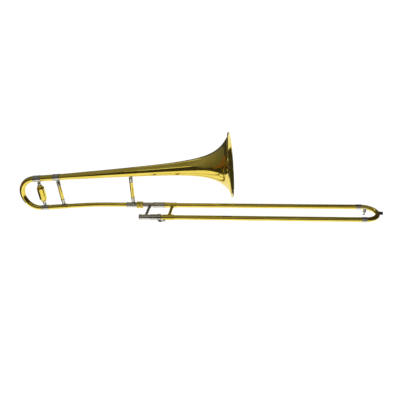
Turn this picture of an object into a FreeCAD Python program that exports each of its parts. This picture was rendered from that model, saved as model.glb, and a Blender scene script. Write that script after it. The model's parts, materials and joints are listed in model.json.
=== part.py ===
"""A straight tenor trombone, as an assembly of its separate pieces.

Millimetres. The origin is the centre of the mouthpiece receiver's mouth. +X runs along the slide to its
bow, +Y is the side that the bell section joins, and +Z is up. The bell section stands in the upright
plane through the bell-side slide tube. Its two legs are parallel and tilted, so that the bell looks up.
"""

import FreeCAD
import Part
import math
import os

import Sketcher
from FreeCAD import Placement, Rotation, Vector

# Driving dimensions, in millimetres and degrees. "from" and "to" are places along a piece's own leg.
DIMENSIONS = {
    # hand slide
    "slide_spacing": 84.0,
    "outer_tube_outer_radius": 7.3,
    "outer_tube_bore_radius": 6.95,
    "inner_tube_outer_radius": 6.7,
    "inner_tube_bore_radius": 6.35,
    "stocking_radius": 6.88,
    "stocking_length": 110.0,
    "outer_tube_from": 50.0,
    "outer_tube_to": 693.0,
    "inner_tube_to": 682.0,
    "receiver_length": 36.0,
    "receiver_radius": 8.0,
    "shank_bore_radius": 6.35,
    "shank_lead_length": 8.0,
    "shank_throat_radius": 5.75,
    "leadpipe_length": 205.0,
    "barrel_radius": 9.2,
    "barrel_bore_radius": 7.8,
    "mouthpiece_barrel_to": 71.0,
    "bell_barrel_from": 28.7,
    "bell_barrel_to": 68.1,
    "inner_brace_at": 19.5,
    "slide_brace_at": 94.2,
    "handle_ferrule_radius": 8.7,
    "bow_ferrule_from": 681.0,
    "bow_ferrule_length": 15.0,
    "bow_ferrule_radius": 8.1,
    "bow_centre_at": 693.4,
    "bumper_radius": 5.2,
    "bumper_to": 752.5,
    # joint of the slide and the bell section
    "tenon_from": -40.0,
    "tenon_bore_radius": 6.2,
    "tenon_small_radius": 6.9,
    "tenon_large_radius": 7.6,
    "tenon_cone_to": -9.6,
    "bell_receiver_from": -60.0,
    "bell_receiver_radius": 8.7,
    "lock_nut_from": -25.8,
    "lock_nut_to": -5.1,
    "lock_nut_radius": 11.3,
    # bell section
    "bell_tilt": 4.34,
    "leg_spacing": 107.3,
    "neck_corner_at": -172.8,
    "neck_tangent_length": 60.0,
    "neckpipe_radius": 7.3,
    "neckpipe_bore_radius": 6.8,
    "bell_rim_at": 470.1,
    "bell_from": -106.0,
    "bell_rim_radius": 101.0,
    "bell_wall": 0.7,
    "bell_tail_radius": 9.2,
    "bell_taper": 0.0186,
    "bell_flare_length": 115.0,
    "rim_wire_radius": 2.1,
    "rear_brace_at": -105.3,
    "front_brace_at": -37.3,
    # tuning slide
    "crook_centre_at": -186.5,
    "crook_small_radius": 7.5,
    "crook_large_radius": 10.0,
    "crook_wall": 0.6,
    "crook_ferrule_to": -161.5,
    "sleeve_from": -160.7,
    "lower_sleeve_radius": 7.95,
    "lower_leg_radius": 7.25,
    "upper_sleeve_radius": 10.05,
    "upper_leg_radius": 9.25,
    "tuning_leg_to": -111.5,
    "tuning_brace_at": -172.4,
    "counterweight_radius": 12.2,
    "counterweight_length": 58.0,
    # braces
    "brace_radius": 5.6,
    "slide_brace_radius": 5.2,
    "tuning_brace_radius": 4.8,
    # fits
    "solder_gap": 0.02,
    "running_gap": 0.07,
}

MOUTHPIECE_SIDE = 0.0


class Size:
    """A sheet dimension or a sum of them: its value, and the expression that gives FreeCAD the same."""

    def __init__(self, value, text):
        self.value = float(value)
        self.text = text

    def __add__(self, other):
        other = as_size(other)
        return Size(self.value + other.value, f"({self.text} + {other.text})")

    def __sub__(self, other):
        other = as_size(other)
        return Size(self.value - other.value, f"({self.text} - {other.text})")

    def __mul__(self, other):
        other = as_size(other)
        return Size(self.value * other.value, f"({self.text} * {other.text})")

    def __neg__(self):
        return Size(-self.value, f"(-1 * {self.text})")

    def __radd__(self, other):
        return as_size(other) + self

    def __rsub__(self, other):
        return as_size(other) - self


def as_size(thing):
    """Gives a plain number the form of a Size."""
    if isinstance(thing, Size):
        return thing
    return Size(thing, f"({float(thing)!r})")


def sine(angle):
    return Size(math.sin(math.radians(angle.value)), f"sin({angle.text})")


def cosine(angle):
    return Size(math.cos(math.radians(angle.value)), f"cos({angle.text})")


doc = FreeCAD.newDocument("trombone")
sheet = doc.addObject("Spreadsheet::Sheet", "Sizes")
for row, (name, number) in enumerate(DIMENSIONS.items(), start=1):
    sheet.set(f"A{row}", name)
    sheet.set(f"B{row}", str(number))
    sheet.setAlias(f"B{row}", name)
doc.recompute()


def dim(name):
    """The sheet's dimension of that name."""
    return Size(getattr(sheet, name), f"Sizes.{name}")


pieces = []


# Where pieces stand. A leg is a straight line that pieces are turned about: its start, and its direction
# as a turn about an axis of the model. Distances along it are the outline's own numbers.

tilt = dim("bell_tilt")
bell_side = dim("slide_spacing")
neck_corner = (dim("neck_corner_at"), bell_side, as_size(0))
bell_axis_start = (
    neck_corner[0] - dim("leg_spacing") * sine(tilt),
    bell_side,
    dim("leg_spacing") * cosine(tilt),
)

MOUTHPIECE_LEG = ((as_size(0), as_size(MOUTHPIECE_SIDE), as_size(0)), Vector(0, 1, 0), as_size(0))
BELL_LEG = ((as_size(0), bell_side, as_size(0)), Vector(0, 1, 0), as_size(0))
LOWER_LEG = (neck_corner, Vector(0, 1, 0), -tilt)
BELL_AXIS = (bell_axis_start, Vector(0, 1, 0), -tilt)


def across_slide(at):
    """A line from the mouthpiece-side slide tube to the bell-side one; its own Z is the model's X."""
    return ((at, as_size(MOUTHPIECE_SIDE), as_size(0)), Vector(1, 1, 1), as_size(120))


def across_bell_section(along):
    """A line from the lower leg square to the bell's axis, at a distance along that leg."""
    start = (
        neck_corner[0] + along * cosine(tilt),
        bell_side,
        neck_corner[2] + along * sine(tilt),
    )
    return (start, Vector(0, 1, 0), -(tilt + 90))


def up_from_slide(at):
    """An upright line from the bell-side slide tube."""
    return ((at, bell_side, as_size(0)), Vector(0, 1, 0), as_size(-90))


def stand(piece, leg):
    """Puts a piece on a leg, bound to the sheet."""
    start, turn_axis, turn = leg
    piece.Placement = Placement(
        Vector(*(size.value for size in start)), Rotation(turn_axis, turn.value)
    )
    for letter, size in zip("xyz", start):
        piece.setExpression(f"Placement.Base.{letter}", size.text)
    piece.setExpression("Placement.Rotation.Angle", turn.text)


# How pieces are made.


def new_body(label):
    body = doc.addObject("PartDesign::Body", label)
    body.Label = label
    return body


def origin_plane(body, role):
    return next(feature for feature in body.Origin.OriginFeatures if feature.Role == role)


def new_sketch(body, name, role):
    sketch = body.newObject("Sketcher::SketchObject", name)
    sketch.AttachmentSupport = (origin_plane(body, role), [""])
    sketch.MapMode = "FlatFace"
    return sketch


def bind(sketch, kind, places, size):
    """Adds a driving constraint and binds it to a size."""
    index = sketch.addConstraint(Sketcher.Constraint(kind, *places, size.value))
    sketch.setExpression(f"Constraints[{index}]", size.text)


def draw_outline(sketch, corners):
    """A closed outline of straight lines; each corner is (distance along the axis, radius)."""
    corners = [(as_size(along), as_size(radius)) for along, radius in corners]
    points = [Vector(along.value, radius.value, 0) for along, radius in corners]
    lines = [
        sketch.addGeometry(Part.LineSegment(point, points[(number + 1) % len(points)]), False)
        for number, point in enumerate(points)
    ]
    for line, following in zip(lines, lines[1:] + lines[:1]):
        sketch.addConstraint(Sketcher.Constraint("Coincident", line, 2, following, 1))
    for line, (along, radius) in zip(lines, corners):
        bind(sketch, "DistanceX", (-1, 1, line, 1), along)
        bind(sketch, "DistanceY", (-1, 1, line, 1), radius)


def draw_circle(sketch, radius, centre=(0.0, 0.0)):
    """A circle bound to a radius, its centre at a fixed point."""
    along, up = (as_size(place) for place in centre)
    circle = sketch.addGeometry(
        Part.Circle(Vector(along.value, up.value, 0), Vector(0, 0, 1), radius.value), False
    )
    bind(sketch, "DistanceX", (-1, 1, circle, 3), along)
    bind(sketch, "DistanceY", (-1, 1, circle, 3), up)
    bind(sketch, "Radius", (circle,), radius)
    return circle


def turn_about_axis(body, sketch):
    turned_form = body.newObject("PartDesign::Revolution", f"{body.Name}_turned")
    turned_form.Profile = sketch
    turned_form.ReferenceAxis = (sketch, ["H_Axis"])
    turned_form.Angle = 360
    sketch.Visibility = False
    return turned_form


def turned(label, leg, corners):
    """A lathe piece: a half outline turned about its leg."""
    body = new_body(label)
    sketch = new_sketch(body, f"{label}_outline", "XZ_Plane")
    draw_outline(sketch, corners)
    turn_about_axis(body, sketch)
    stand(body, leg)
    pieces.append(body)
    return body


def tube(label, leg, start, end, outer, bore):
    """A plain tube."""
    return turned(label, leg, [(start, bore), (end, bore), (end, outer), (start, outer)])


def beaded_sleeve(label, leg, start, end, outer, bore, bead=0.6, bead_width=2.0):
    """A ferrule: a sleeve with a raised bead round each end."""
    crest = outer + bead
    return turned(
        label,
        leg,
        [
            (start, bore),
            (end, bore),
            (end, crest),
            (end - bead_width, crest),
            (end - bead_width, outer),
            (start + bead_width, outer),
            (start + bead_width, crest),
            (start, crest),
        ],
    )


def brace_end(label, leg, near_radius, length, rod_radius, at=0.0, faces=1, flare=2.6):
    """A brace's foot: a flared socket whose end is cut to the tube that it stands on.

    The tube has its axis at distance `at` along the leg. The foot rises towards the brace, along the
    leg for faces = 1 and against it for faces = -1, and ends at `length` from the tube's axis.
    """
    at = as_size(at)
    seat = near_radius + dim("solder_gap")
    top = at + (as_size(length) * faces)
    flare_top = at + (seat + 3.2) * faces
    root = at + (seat - 3.0) * faces
    body = new_body(label)
    sketch = new_sketch(body, f"{label}_outline", "XZ_Plane")
    draw_outline(
        sketch,
        [
            (root, 0.0),
            (top, 0.0),
            (top, rod_radius + 0.9),
            (top - as_size(1.6) * faces, rod_radius + 0.9),
            (top - as_size(1.6) * faces, rod_radius + 0.35),
            (flare_top, rod_radius + 0.35),
            (root, rod_radius + flare),
        ],
    )
    turn_about_axis(body, sketch)
    saddle = new_sketch(body, f"{label}_saddle", "XY_Plane")
    draw_circle(saddle, seat, (at, 0.0))
    cut = body.newObject("PartDesign::Pocket", f"{body.Name}_saddle_cut")
    cut.Profile = saddle
    cut.Type = "ThroughAll"
    cut.Midplane = True
    saddle.Visibility = False
    stand(body, leg)
    pieces.append(body)
    return body


def draw_bend(sketch, start, bend_from, bend_to, end):
    """A straight run, a tangent arc and a second straight run, through four points of the sketch."""
    first, turn_start, turn_end, last = (
        Vector(along.value, up.value, 0) for along, up in (start, bend_from, bend_to, end)
    )
    heading = (turn_start - first).normalize()
    chord = turn_end - turn_start
    half_turn = heading.getAngle(chord)
    radius = chord.Length / (2 * math.sin(half_turn))
    side = 1 if heading.cross(chord).z > 0 else -1
    centre = turn_start + Vector(-heading.y, heading.x, 0) * (side * radius)
    ends = [turn_start - centre, turn_end - centre][::side]
    angles = [math.atan2(spoke.y, spoke.x) for spoke in ends]
    if angles[1] < angles[0]:
        angles[1] += 2 * math.pi
    circle = Part.Circle(centre, Vector(0, 0, 1), radius)
    run_in = sketch.addGeometry(Part.LineSegment(first, turn_start), False)
    arc = sketch.addGeometry(Part.ArcOfCircle(circle, *angles), False)
    run_out = sketch.addGeometry(Part.LineSegment(turn_end, last), False)
    arc_first, arc_last = (1, 2) if side == 1 else (2, 1)
    sketch.addConstraint(Sketcher.Constraint("Tangent", run_in, 2, arc, arc_first))
    sketch.addConstraint(Sketcher.Constraint("Tangent", run_out, 1, arc, arc_last))
    for line, place, (along, up) in ((run_in, 1, start), (run_in, 2, bend_from), (run_out, 2, end)):
        bind(sketch, "DistanceX", (-1, 1, line, place), along)
        bind(sketch, "DistanceY", (-1, 1, line, place), up)
    bind(sketch, "DistanceX", (-1, 1, run_out, 1), bend_to[0])


def section_sketch(body, name, at, radii, centre):
    """Circles of the given radii on a plane square to the body's X axis."""
    sketch = new_sketch(body, name, "YZ_Plane")
    sketch.AttachmentOffset = Placement(Vector(0, 0, at.value), Rotation())
    sketch.setExpression("AttachmentOffset.Base.z", at.text)
    for radius in radii:
        draw_circle(sketch, as_size(radius), centre)
    sketch.Visibility = False
    return sketch


def bent_tube(label, leg, plane, points, outer, bore):
    """A tube of constant section along a run, a bend and a run, drawn on one of the leg's planes."""
    body = new_body(label)
    spine = new_sketch(body, f"{label}_line", plane)
    draw_bend(spine, *points)
    start_along, start_aside = points[0]
    centre = (start_aside, 0.0) if plane == "XY_Plane" else (0.0, start_aside)
    section = section_sketch(body, f"{label}_section", start_along, (outer, bore), centre)
    pipe = body.newObject("PartDesign::AdditivePipe", f"{label}_pipe")
    pipe.Profile = section
    pipe.Spine = (spine, [])
    spine.Visibility = False
    stand(body, leg)
    pieces.append(body)
    return body


def cut_to(label, body, tool):
    """A body with another shape cut away, kept as the piece in the body's place."""
    pieces.remove(body)
    body.Label = f"{label}_before_cut"
    cut = doc.addObject("Part::Cut", f"{label}_fitted")
    cut.Base = body
    cut.Tool = tool
    cut.Label = label
    pieces.append(cut)
    return cut


# Inner slide: what the left hand holds.


def mouthpiece_receiver():
    """A socket for the mouthpiece shank: a short parallel lead, then the shank's long taper."""
    end = dim("receiver_length")
    bore = dim("shank_bore_radius")
    throat = dim("shank_throat_radius")
    outer = dim("receiver_radius")
    seat = dim("inner_tube_outer_radius") + dim("solder_gap")
    lead = dim("shank_lead_length")
    tube_seat_from = end - 8.0
    turned(
        "mouthpiece_receiver",
        MOUTHPIECE_LEG,
        [
            (0, bore),
            (lead, bore),
            (tube_seat_from, throat),
            (tube_seat_from, seat),
            (end, seat),
            (end, outer + 0.5),
            (end - 2.0, outer + 0.5),
            (end - 2.0, outer),
            (5.0, outer),
            (4.0, outer + 1.3),
            (1.0, outer + 1.3),
            (0, outer + 0.6),
        ],
    )


def leadpipe():
    start = dim("receiver_length") - 7.8
    end = start + dim("leadpipe_length")
    outer = dim("inner_tube_bore_radius") - dim("solder_gap")
    throat = dim("shank_throat_radius")
    turned("leadpipe", MOUTHPIECE_LEG, [(start, throat), (end, outer - 0.2), (end, outer), (start, outer)])


def inner_slide_tube(label, leg, start):
    """A drawn tube whose far end, the stocking, is a little larger and runs in the outer tube."""
    end = dim("inner_tube_to")
    bore = dim("inner_tube_bore_radius")
    outer = dim("inner_tube_outer_radius")
    stocking = dim("stocking_radius")
    stocking_from = end - dim("stocking_length")
    turned(
        label,
        leg,
        [
            (start, bore),
            (end, bore),
            (end, stocking),
            (stocking_from, stocking),
            (stocking_from - 1.0, outer),
            (start, outer),
        ],
    )


def cork_barrel(label, leg, start, end, ring_at):
    """The barrel that the outer tube's end enters when the slide is closed, shut round the inner tube."""
    seat = dim("inner_tube_outer_radius") + dim("solder_gap")
    bore = dim("barrel_bore_radius")
    outer = dim("barrel_radius")
    wall_to = start + 3.0
    turned(
        label,
        leg,
        [
            (start, seat),
            (wall_to, seat),
            (wall_to, bore),
            (end, bore),
            (end, outer + 0.35),
            (end - 0.9, outer + 0.35),
            (end - 0.9, outer),
            (ring_at + 1.0, outer),
            (ring_at + 1.0, outer + 0.7),
            (ring_at - 1.0, outer + 0.7),
            (ring_at - 1.0, outer),
            (start + 1.2, outer),
            (start, outer - 0.9),
        ],
    )


def slide_cork(label, leg, start, end):
    """The soft ring that the outer tube stops against."""
    inner = dim("inner_tube_outer_radius") + 0.05
    outer = dim("barrel_bore_radius") - 0.05
    tube(label, leg, start, end, outer, inner)


def bell_tenon():
    """The bell-side end: a cone for the bell's receiver, a shoulder that keeps the nut, a tube socket."""
    start = dim("tenon_from")
    cone_to = dim("tenon_cone_to")
    bore = dim("tenon_bore_radius")
    outer = dim("receiver_radius")
    seat = dim("inner_tube_outer_radius") + dim("solder_gap")
    end = dim("bell_barrel_from")
    seat_from = end - 8.2
    shoulder_to = cone_to + 2.0
    turned(
        "bell_tenon",
        BELL_LEG,
        [
            (start, bore),
            (seat_from, bore),
            (seat_from, seat),
            (end, seat),
            (end, outer),
            (shoulder_to, outer),
            (shoulder_to, outer + 0.9),
            (cone_to + 0.2, outer + 0.9),
            (cone_to + 0.2, dim("tenon_large_radius")),
            (start, dim("tenon_small_radius")),
        ],
    )


def brace(name, leg, spacing, near, far, rod_radius, foot_length, swell=0.0, flare=2.6):
    """A brace across two tubes of the given radii: a rod between two feet."""
    foot = as_size(foot_length)
    near_to = near + foot
    far_from = spacing - (far + foot)
    middle = (near_to + far_from) * 0.5
    outline = [
        (near_to, 0.0),
        (far_from, 0.0),
        (far_from, rod_radius),
        (middle, rod_radius + swell),
        (near_to, rod_radius),
    ]
    turned(f"{name}_rod", leg, outline)
    brace_end(f"{name}_near_foot", leg, near, near_to, rod_radius, flare=flare)
    brace_end(f"{name}_far_foot", leg, far, far + foot, rod_radius, spacing, -1, flare)


# Bell section.


def bell_radius(from_rim):
    """The horn's outer radius at a distance back from its rim: a slow taper and a cubic flare."""
    tail = DIMENSIONS["bell_tail_radius"]
    taper = DIMENSIONS["bell_taper"]
    flare_length = DIMENSIONS["bell_flare_length"]
    length = DIMENSIONS["bell_rim_at"] - DIMENSIONS["bell_from"]
    flare = DIMENSIONS["bell_rim_radius"] - tail - taper * length
    return tail + taper * (length - from_rim) + flare * (flare_length / (from_rim + flare_length)) ** 3


def bell_slope(from_rim):
    """How fast the horn's radius grows towards the rim."""
    step = 0.01
    return (bell_radius(from_rim - step) - bell_radius(from_rim + step)) / (2 * step)


def rim_wire_centre():
    """The wire's centre, as (distance back from the rim plane, radius)."""
    wire = DIMENSIONS["rim_wire_radius"]
    return 1.2, DIMENSIONS["bell_rim_radius"] + 1.0 - wire


def bell_outline(inset, steps=22):
    """Points along the horn from tail to rim wire, closer together where it flares."""
    rim_at = DIMENSIONS["bell_rim_at"]
    length = rim_at - DIMENSIONS["bell_from"]
    centre_back, centre_radius = rim_wire_centre()
    reach = DIMENSIONS["rim_wire_radius"] + 0.1
    slope = bell_slope(centre_back)
    ending = centre_back + reach / math.hypot(1, slope)
    points = []
    for step in range(steps + 1):
        from_rim = ending + (length - ending) * (1 - step / steps) ** 2.2
        slope = bell_slope(from_rim)
        across = math.hypot(1, slope)
        along = rim_at - from_rim + inset * slope / across
        radius = bell_radius(from_rim) - inset / across
        points.append(Vector(along, radius, 0))
    return points


def bell():
    """The horn: one sheet spun to a formula, so its outline is two splines and two short ends."""
    body = new_body("bell")
    sketch = new_sketch(body, "bell_outline", "XZ_Plane")
    outlines = [bell_outline(0.0), bell_outline(DIMENSIONS["bell_wall"])]
    for points in outlines:
        spline = Part.BSplineCurve()
        spline.interpolate(points)
        sketch.addGeometry(spline, False)
    for end in (0, -1):
        sketch.addGeometry(Part.LineSegment(outlines[0][end], outlines[1][end]), False)
    turn_about_axis(body, sketch)
    stand(body, BELL_AXIS)
    pieces.append(body)


def bell_rim_wire():
    """The wire that the bell's edge is rolled round."""
    back, radius = rim_wire_centre()
    body = new_body("bell_rim_wire")
    sketch = new_sketch(body, "bell_rim_wire_outline", "XZ_Plane")
    centre = (dim("bell_rim_at") - back, radius)
    draw_circle(sketch, dim("rim_wire_radius"), centre)
    turn_about_axis(body, sketch)
    stand(body, BELL_AXIS)
    pieces.append(body)


def bell_tail_ferrule():
    """A ferrule that joins the bell's tail to the upper tuning sleeve."""
    start = dim("bell_from") - 11.0
    step_at = dim("bell_from") - 0.15
    end = dim("bell_from") + 12.0
    over_sleeve = dim("upper_sleeve_radius") + dim("solder_gap")
    over_bell = dim("bell_tail_radius") + 0.68
    outer = dim("upper_sleeve_radius") + 0.85
    turned(
        "bell_tail_ferrule",
        BELL_AXIS,
        [
            (start, over_sleeve),
            (step_at, over_sleeve),
            (step_at, over_bell),
            (end, over_bell),
            (end, outer),
            (end - 0.6, outer + 0.5),
            (end - 2.2, outer + 0.5),
            (end - 2.8, outer),
            (start + 2.8, outer),
            (start + 2.2, outer + 0.5),
            (start + 0.6, outer + 0.5),
            (start, outer),
        ],
    )


def neckpipe():
    """The lower leg: straight out of the bell receiver, then a long gentle bend to the tilted leg."""
    tangent = dim("neck_tangent_length")
    corner = dim("neck_corner_at")
    leg_to = as_size(-110.0)
    points = (
        (as_size(-43.2), as_size(0)),
        (corner + tangent, as_size(0)),
        (corner - tangent * cosine(tilt), -(tangent * sine(tilt))),
        (corner + leg_to * cosine(tilt), leg_to * sine(tilt)),
    )
    outer = dim("neckpipe_radius")
    bent_tube("neckpipe", BELL_LEG, "XZ_Plane", points, outer, dim("neckpipe_bore_radius"))


def bell_receiver():
    """The bell section's socket: the neckpipe's seat, then the female cone, then the nut's thread."""
    start = dim("bell_receiver_from")
    pipe_seat = dim("neckpipe_radius") + dim("solder_gap")
    ledge = dim("neckpipe_bore_radius")
    cone_from = dim("tenon_from") - 1.0
    gap = dim("running_gap")
    outer = dim("bell_receiver_radius")
    thread_from = dim("lock_nut_from") + 1.0
    end = dim("tenon_cone_to") - 0.1
    thread = outer + 0.6
    turned(
        "bell_receiver",
        BELL_LEG,
        [
            (start, pipe_seat),
            (cone_from - 2.0, pipe_seat),
            (cone_from - 2.0, ledge),
            (cone_from, ledge),
            (cone_from, dim("tenon_small_radius") + gap),
            (end, dim("tenon_large_radius") + gap),
            (end, thread),
            (thread_from, thread),
            (thread_from, outer),
            (start + 3.0, outer),
            (start + 2.4, outer + 0.5),
            (start + 0.8, outer + 0.5),
            (start, outer),
        ],
    )


def tuning_sleeves():
    """The two outer tubes that the tuning slide's legs run in."""
    start = dim("sleeve_from")
    gap = dim("running_gap")
    upper = dim("upper_sleeve_radius")
    upper_bore = dim("upper_leg_radius") + gap
    tube("upper_tuning_sleeve", BELL_AXIS, start, dim("bell_from") - 0.3, upper, upper_bore)
    lower = dim("lower_sleeve_radius")
    lower_bore = dim("lower_leg_radius") + gap
    end = as_size(-93.5)
    turned(
        "lower_tuning_sleeve",
        LOWER_LEG,
        [
            (start, lower_bore),
            (end, lower_bore),
            (end, lower),
            (end - 0.8, lower + 0.6),
            (end - 2.4, lower + 0.6),
            (end - 3.2, lower),
            (start, lower),
        ],
    )


def front_bell_brace():
    """The upright brace from the bell receiver to the bell, its top foot cut to the horn's cone."""
    at = dim("front_brace_at")
    leg = up_from_slide(at)
    along = (DIMENSIONS["front_brace_at"] - bell_axis_start[0].value) / math.cos(math.radians(tilt.value))
    height = bell_axis_start[2].value + along * math.sin(math.radians(tilt.value))
    at_bell = bell_radius(DIMENSIONS["bell_rim_at"] - along)
    foot = 20.0
    rod_radius = dim("brace_radius")
    near = dim("bell_receiver_radius")
    top = height - at_bell - foot
    rod_from = near + foot
    turned(
        "front_brace_rod",
        leg,
        [
            (rod_from, 0.0),
            (top, 0.0),
            (top, rod_radius),
            ((rod_from + top) * 0.5, rod_radius + 0.5),
            (rod_from, rod_radius),
        ],
    )
    brace_end("front_brace_near_foot", leg, near, rod_from, rod_radius)
    upper_foot = brace_end(
        "front_brace_far_foot", leg, as_size(at_bell - 0.6), at_bell + foot, rod_radius, height, -1
    )
    half_length = 25.0
    horn = doc.addObject("Part::Cone", "horn_at_front_brace")
    horn.Radius1 = bell_radius(DIMENSIONS["bell_rim_at"] - along + half_length) + 0.05
    horn.Radius2 = bell_radius(DIMENSIONS["bell_rim_at"] - along - half_length) + 0.05
    horn.Height = 2 * half_length
    upright_to_axis = Rotation(Vector(0, 1, 0), 90)
    on_axis = Placement(
        Vector(*(size.value for size in bell_axis_start)), Rotation(Vector(0, 1, 0), -tilt.value)
    )
    horn.Placement = on_axis * Placement(Vector(along - half_length, 0, 0), upright_to_axis)
    cut_to("front_brace_far_foot", upper_foot, horn)


# Tuning slide.


def tuning_crook():
    """The bend at the back: it widens from the lower leg to the upper, with a straight end on each."""
    centre = dim("crook_centre_at")
    spacing = dim("leg_spacing")
    straight = dim("crook_ferrule_to") - 12.6 - centre
    wall = dim("crook_wall")
    small = dim("crook_small_radius")
    large = dim("crook_large_radius")
    body = new_body("tuning_crook")
    spine = new_sketch(body, "tuning_crook_line", "XZ_Plane")
    half = spacing * 0.5
    quarter_turn = math.pi / 2
    circle = Part.Circle(Vector(centre.value, half.value, 0), Vector(0, 0, 1), half.value)
    arc = spine.addGeometry(Part.ArcOfCircle(circle, quarter_turn, 3 * quarter_turn), False)
    bind(spine, "DistanceX", (-1, 1, arc, 3), centre)
    bind(spine, "DistanceY", (-1, 1, arc, 3), half)
    bind(spine, "DistanceX", (-1, 1, arc, 1), centre)
    bind(spine, "DistanceX", (-1, 1, arc, 2), centre)
    bind(spine, "Radius", (arc,), half)
    upper_place = (0.0, spacing)
    lower_place = (0.0, 0.0)
    for kind, inset in (("AdditivePipe", as_size(0)), ("SubtractivePipe", wall)):
        lower = section_sketch(body, f"crook_{kind}_lower", centre, [small - inset], lower_place)
        upper = section_sketch(body, f"crook_{kind}_upper", centre, [large - inset], upper_place)
        pipe = body.newObject(f"PartDesign::{kind}", f"crook_{kind}")
        pipe.Profile = upper
        pipe.Spine = (spine, ["Edge1"])
        pipe.Transformation = "Multisection"
        pipe.Sections = [(lower, [""])]
    for name, radius, place in (("lower", small, lower_place), ("upper", large, upper_place)):
        ring = section_sketch(body, f"crook_{name}_end", centre, [radius, radius - wall], place)
        pad = body.newObject("PartDesign::Pad", f"crook_{name}_straight")
        pad.Profile = ring
        pad.Length = straight.value
        pad.setExpression("Length", straight.text)
    spine.Visibility = False
    stand(body, LOWER_LEG)
    pieces.append(body)


def crook_ferrule(label, leg, crook_radius, leg_radius):
    """A ferrule over the crook's end and the tuning slide's leg."""
    end = dim("crook_ferrule_to")
    start = end - 25.0
    step_at = end - 12.4
    over_crook = crook_radius + dim("solder_gap")
    over_leg = leg_radius + dim("solder_gap")
    outer = crook_radius + 0.85
    turned(
        label,
        leg,
        [
            (start, over_crook),
            (step_at, over_crook),
            (step_at, over_leg),
            (end, over_leg),
            (end, outer + 0.4),
            (end - 1.0, outer + 0.4),
            (end - 1.0, outer),
            (start + 2.6, outer),
            (start + 2.0, outer + 0.4),
            (start + 0.8, outer + 0.4),
            (start, outer - 0.3),
        ],
    )


def tuning_legs():
    start = dim("crook_ferrule_to") - 12.2
    end = dim("tuning_leg_to")
    for label, leg, radius in (
        ("lower_tuning_leg", LOWER_LEG, dim("lower_leg_radius")),
        ("upper_tuning_leg", BELL_AXIS, dim("upper_leg_radius")),
    ):
        tube(label, leg, start, end, radius, radius - 0.45)


def counterweight(leg):
    """The brass weight on the tuning slide's brace: a barrel with a collar at each end."""
    middle = dim("leg_spacing") * 0.5
    half = dim("counterweight_length") * 0.5
    bore = dim("tuning_brace_radius") + dim("solder_gap")
    crest = dim("counterweight_radius")
    end_profile = [
        (half, bore),
        (half, bore + 2.6),
        (half - 0.8, bore + 3.4),
        (half - 2.6, bore + 3.4),
        (half - 3.2, bore + 2.4),
        (half - 4.4, bore + 2.4),
        (half - 5.2, crest - 2.4),
        (half - 7.2, crest - 1.0),
        (half - 10.5, crest),
    ]
    far_end = [(middle + along, radius) for along, radius in end_profile]
    near_end = [(middle - along, radius) for along, radius in reversed(end_profile)]
    turned("counterweight", leg, far_end + near_end)


# Outer slide: what the right hand moves.


def handle_ferrule(label, leg, start, end):
    outer = dim("handle_ferrule_radius")
    bore = dim("outer_tube_outer_radius") + dim("solder_gap")
    beaded_sleeve(label, leg, as_size(start), as_size(end), outer, bore)


def slide_bow():
    """The bend that joins the two outer tubes, with the water key's drain hole."""
    centre = dim("bow_centre_at")
    spacing = dim("slide_spacing")
    start = dim("outer_tube_to") - 6.8
    points = ((start, spacing), (centre, spacing), (centre, as_size(0)), (start, as_size(0)))
    outer = dim("outer_tube_outer_radius")
    body = bent_tube("slide_bow", MOUTHPIECE_LEG, "XY_Plane", points, outer, outer - 0.55)
    hole = new_sketch(body, "drain_hole", "XY_Plane")
    place = key_place()
    draw_circle(hole, as_size(NIPPLE_BORE), (place[0], place[1]))
    drain = body.newObject("PartDesign::Pocket", "drain")
    drain.Profile = hole
    drain.Length = 12.0
    hole.Visibility = False


KEY_ANGLE = 22.0
NIPPLE_BORE = 2.0
NIPPLE_RADIUS = 3.1
NIPPLE_TIP = -11.8
PIVOT_INWARD = 9.0
PIVOT_BELOW = -11.4
PIVOT_RADIUS = 1.1
EAR_FROM = 3.3
EAR_THICKNESS = 1.2


def key_place():
    """The point of the bow's centre line that the water key is under."""
    half = dim("slide_spacing") * 0.5
    angle = as_size(KEY_ANGLE)
    return (dim("bow_centre_at") + half * sine(angle), half + half * cosine(angle), as_size(0))


def key_leg():
    """The water key's own frame: X towards the inside of the bow, Y along it, Z up."""
    return (key_place(), Vector(0, 0, 1), as_size(-90.0 - KEY_ANGLE))


def bow_tool(name, extra):
    """A torus round the bow's centre line, for cutting feet to the bow."""
    torus = doc.addObject("Part::Torus", name)
    for prop, size in (
        ("Radius1", dim("slide_spacing") * 0.5),
        ("Radius2", dim("outer_tube_outer_radius") + extra),
    ):
        setattr(torus, prop, size.value)
        torus.setExpression(prop, size.text)
    half = dim("slide_spacing") * 0.5
    centre = (dim("bow_centre_at"), half, as_size(0))
    stand(torus, (centre, Vector(0, 0, 1), as_size(0)))
    return torus


def along_key_drop():
    """A leg whose X points down from the key's place on the bow."""
    return (key_place(), Vector(0, 1, 0), as_size(90))


def water_key_nipple():
    """The short tube that drains the bow, cut to the bow at its root."""
    tip = -NIPPLE_TIP
    nipple = turned(
        "water_key_nipple",
        along_key_drop(),
        [
            (5.5, NIPPLE_BORE),
            (tip, NIPPLE_BORE),
            (tip, NIPPLE_RADIUS - 0.4),
            (tip - 0.5, NIPPLE_RADIUS),
            (8.6, NIPPLE_RADIUS),
            (7.0, NIPPLE_RADIUS + 1.4),
            (5.5, NIPPLE_RADIUS + 1.4),
        ],
    )
    cut_to("water_key_nipple", nipple, bow_tool("bow_at_nipple", 0.02))


def pad_across(body, name, corners, near, far):
    """A plate of the key's side view, from one distance along the bow to another."""
    sketch = new_sketch(body, name, "XZ_Plane")
    sketch.AttachmentOffset = Placement(Vector(0, 0, -far), Rotation())
    draw_outline(sketch, corners)
    pad = body.newObject("PartDesign::Pad", f"{name}_pad")
    pad.Profile = sketch
    pad.Length = far - near
    sketch.Visibility = False
    return pad


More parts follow.
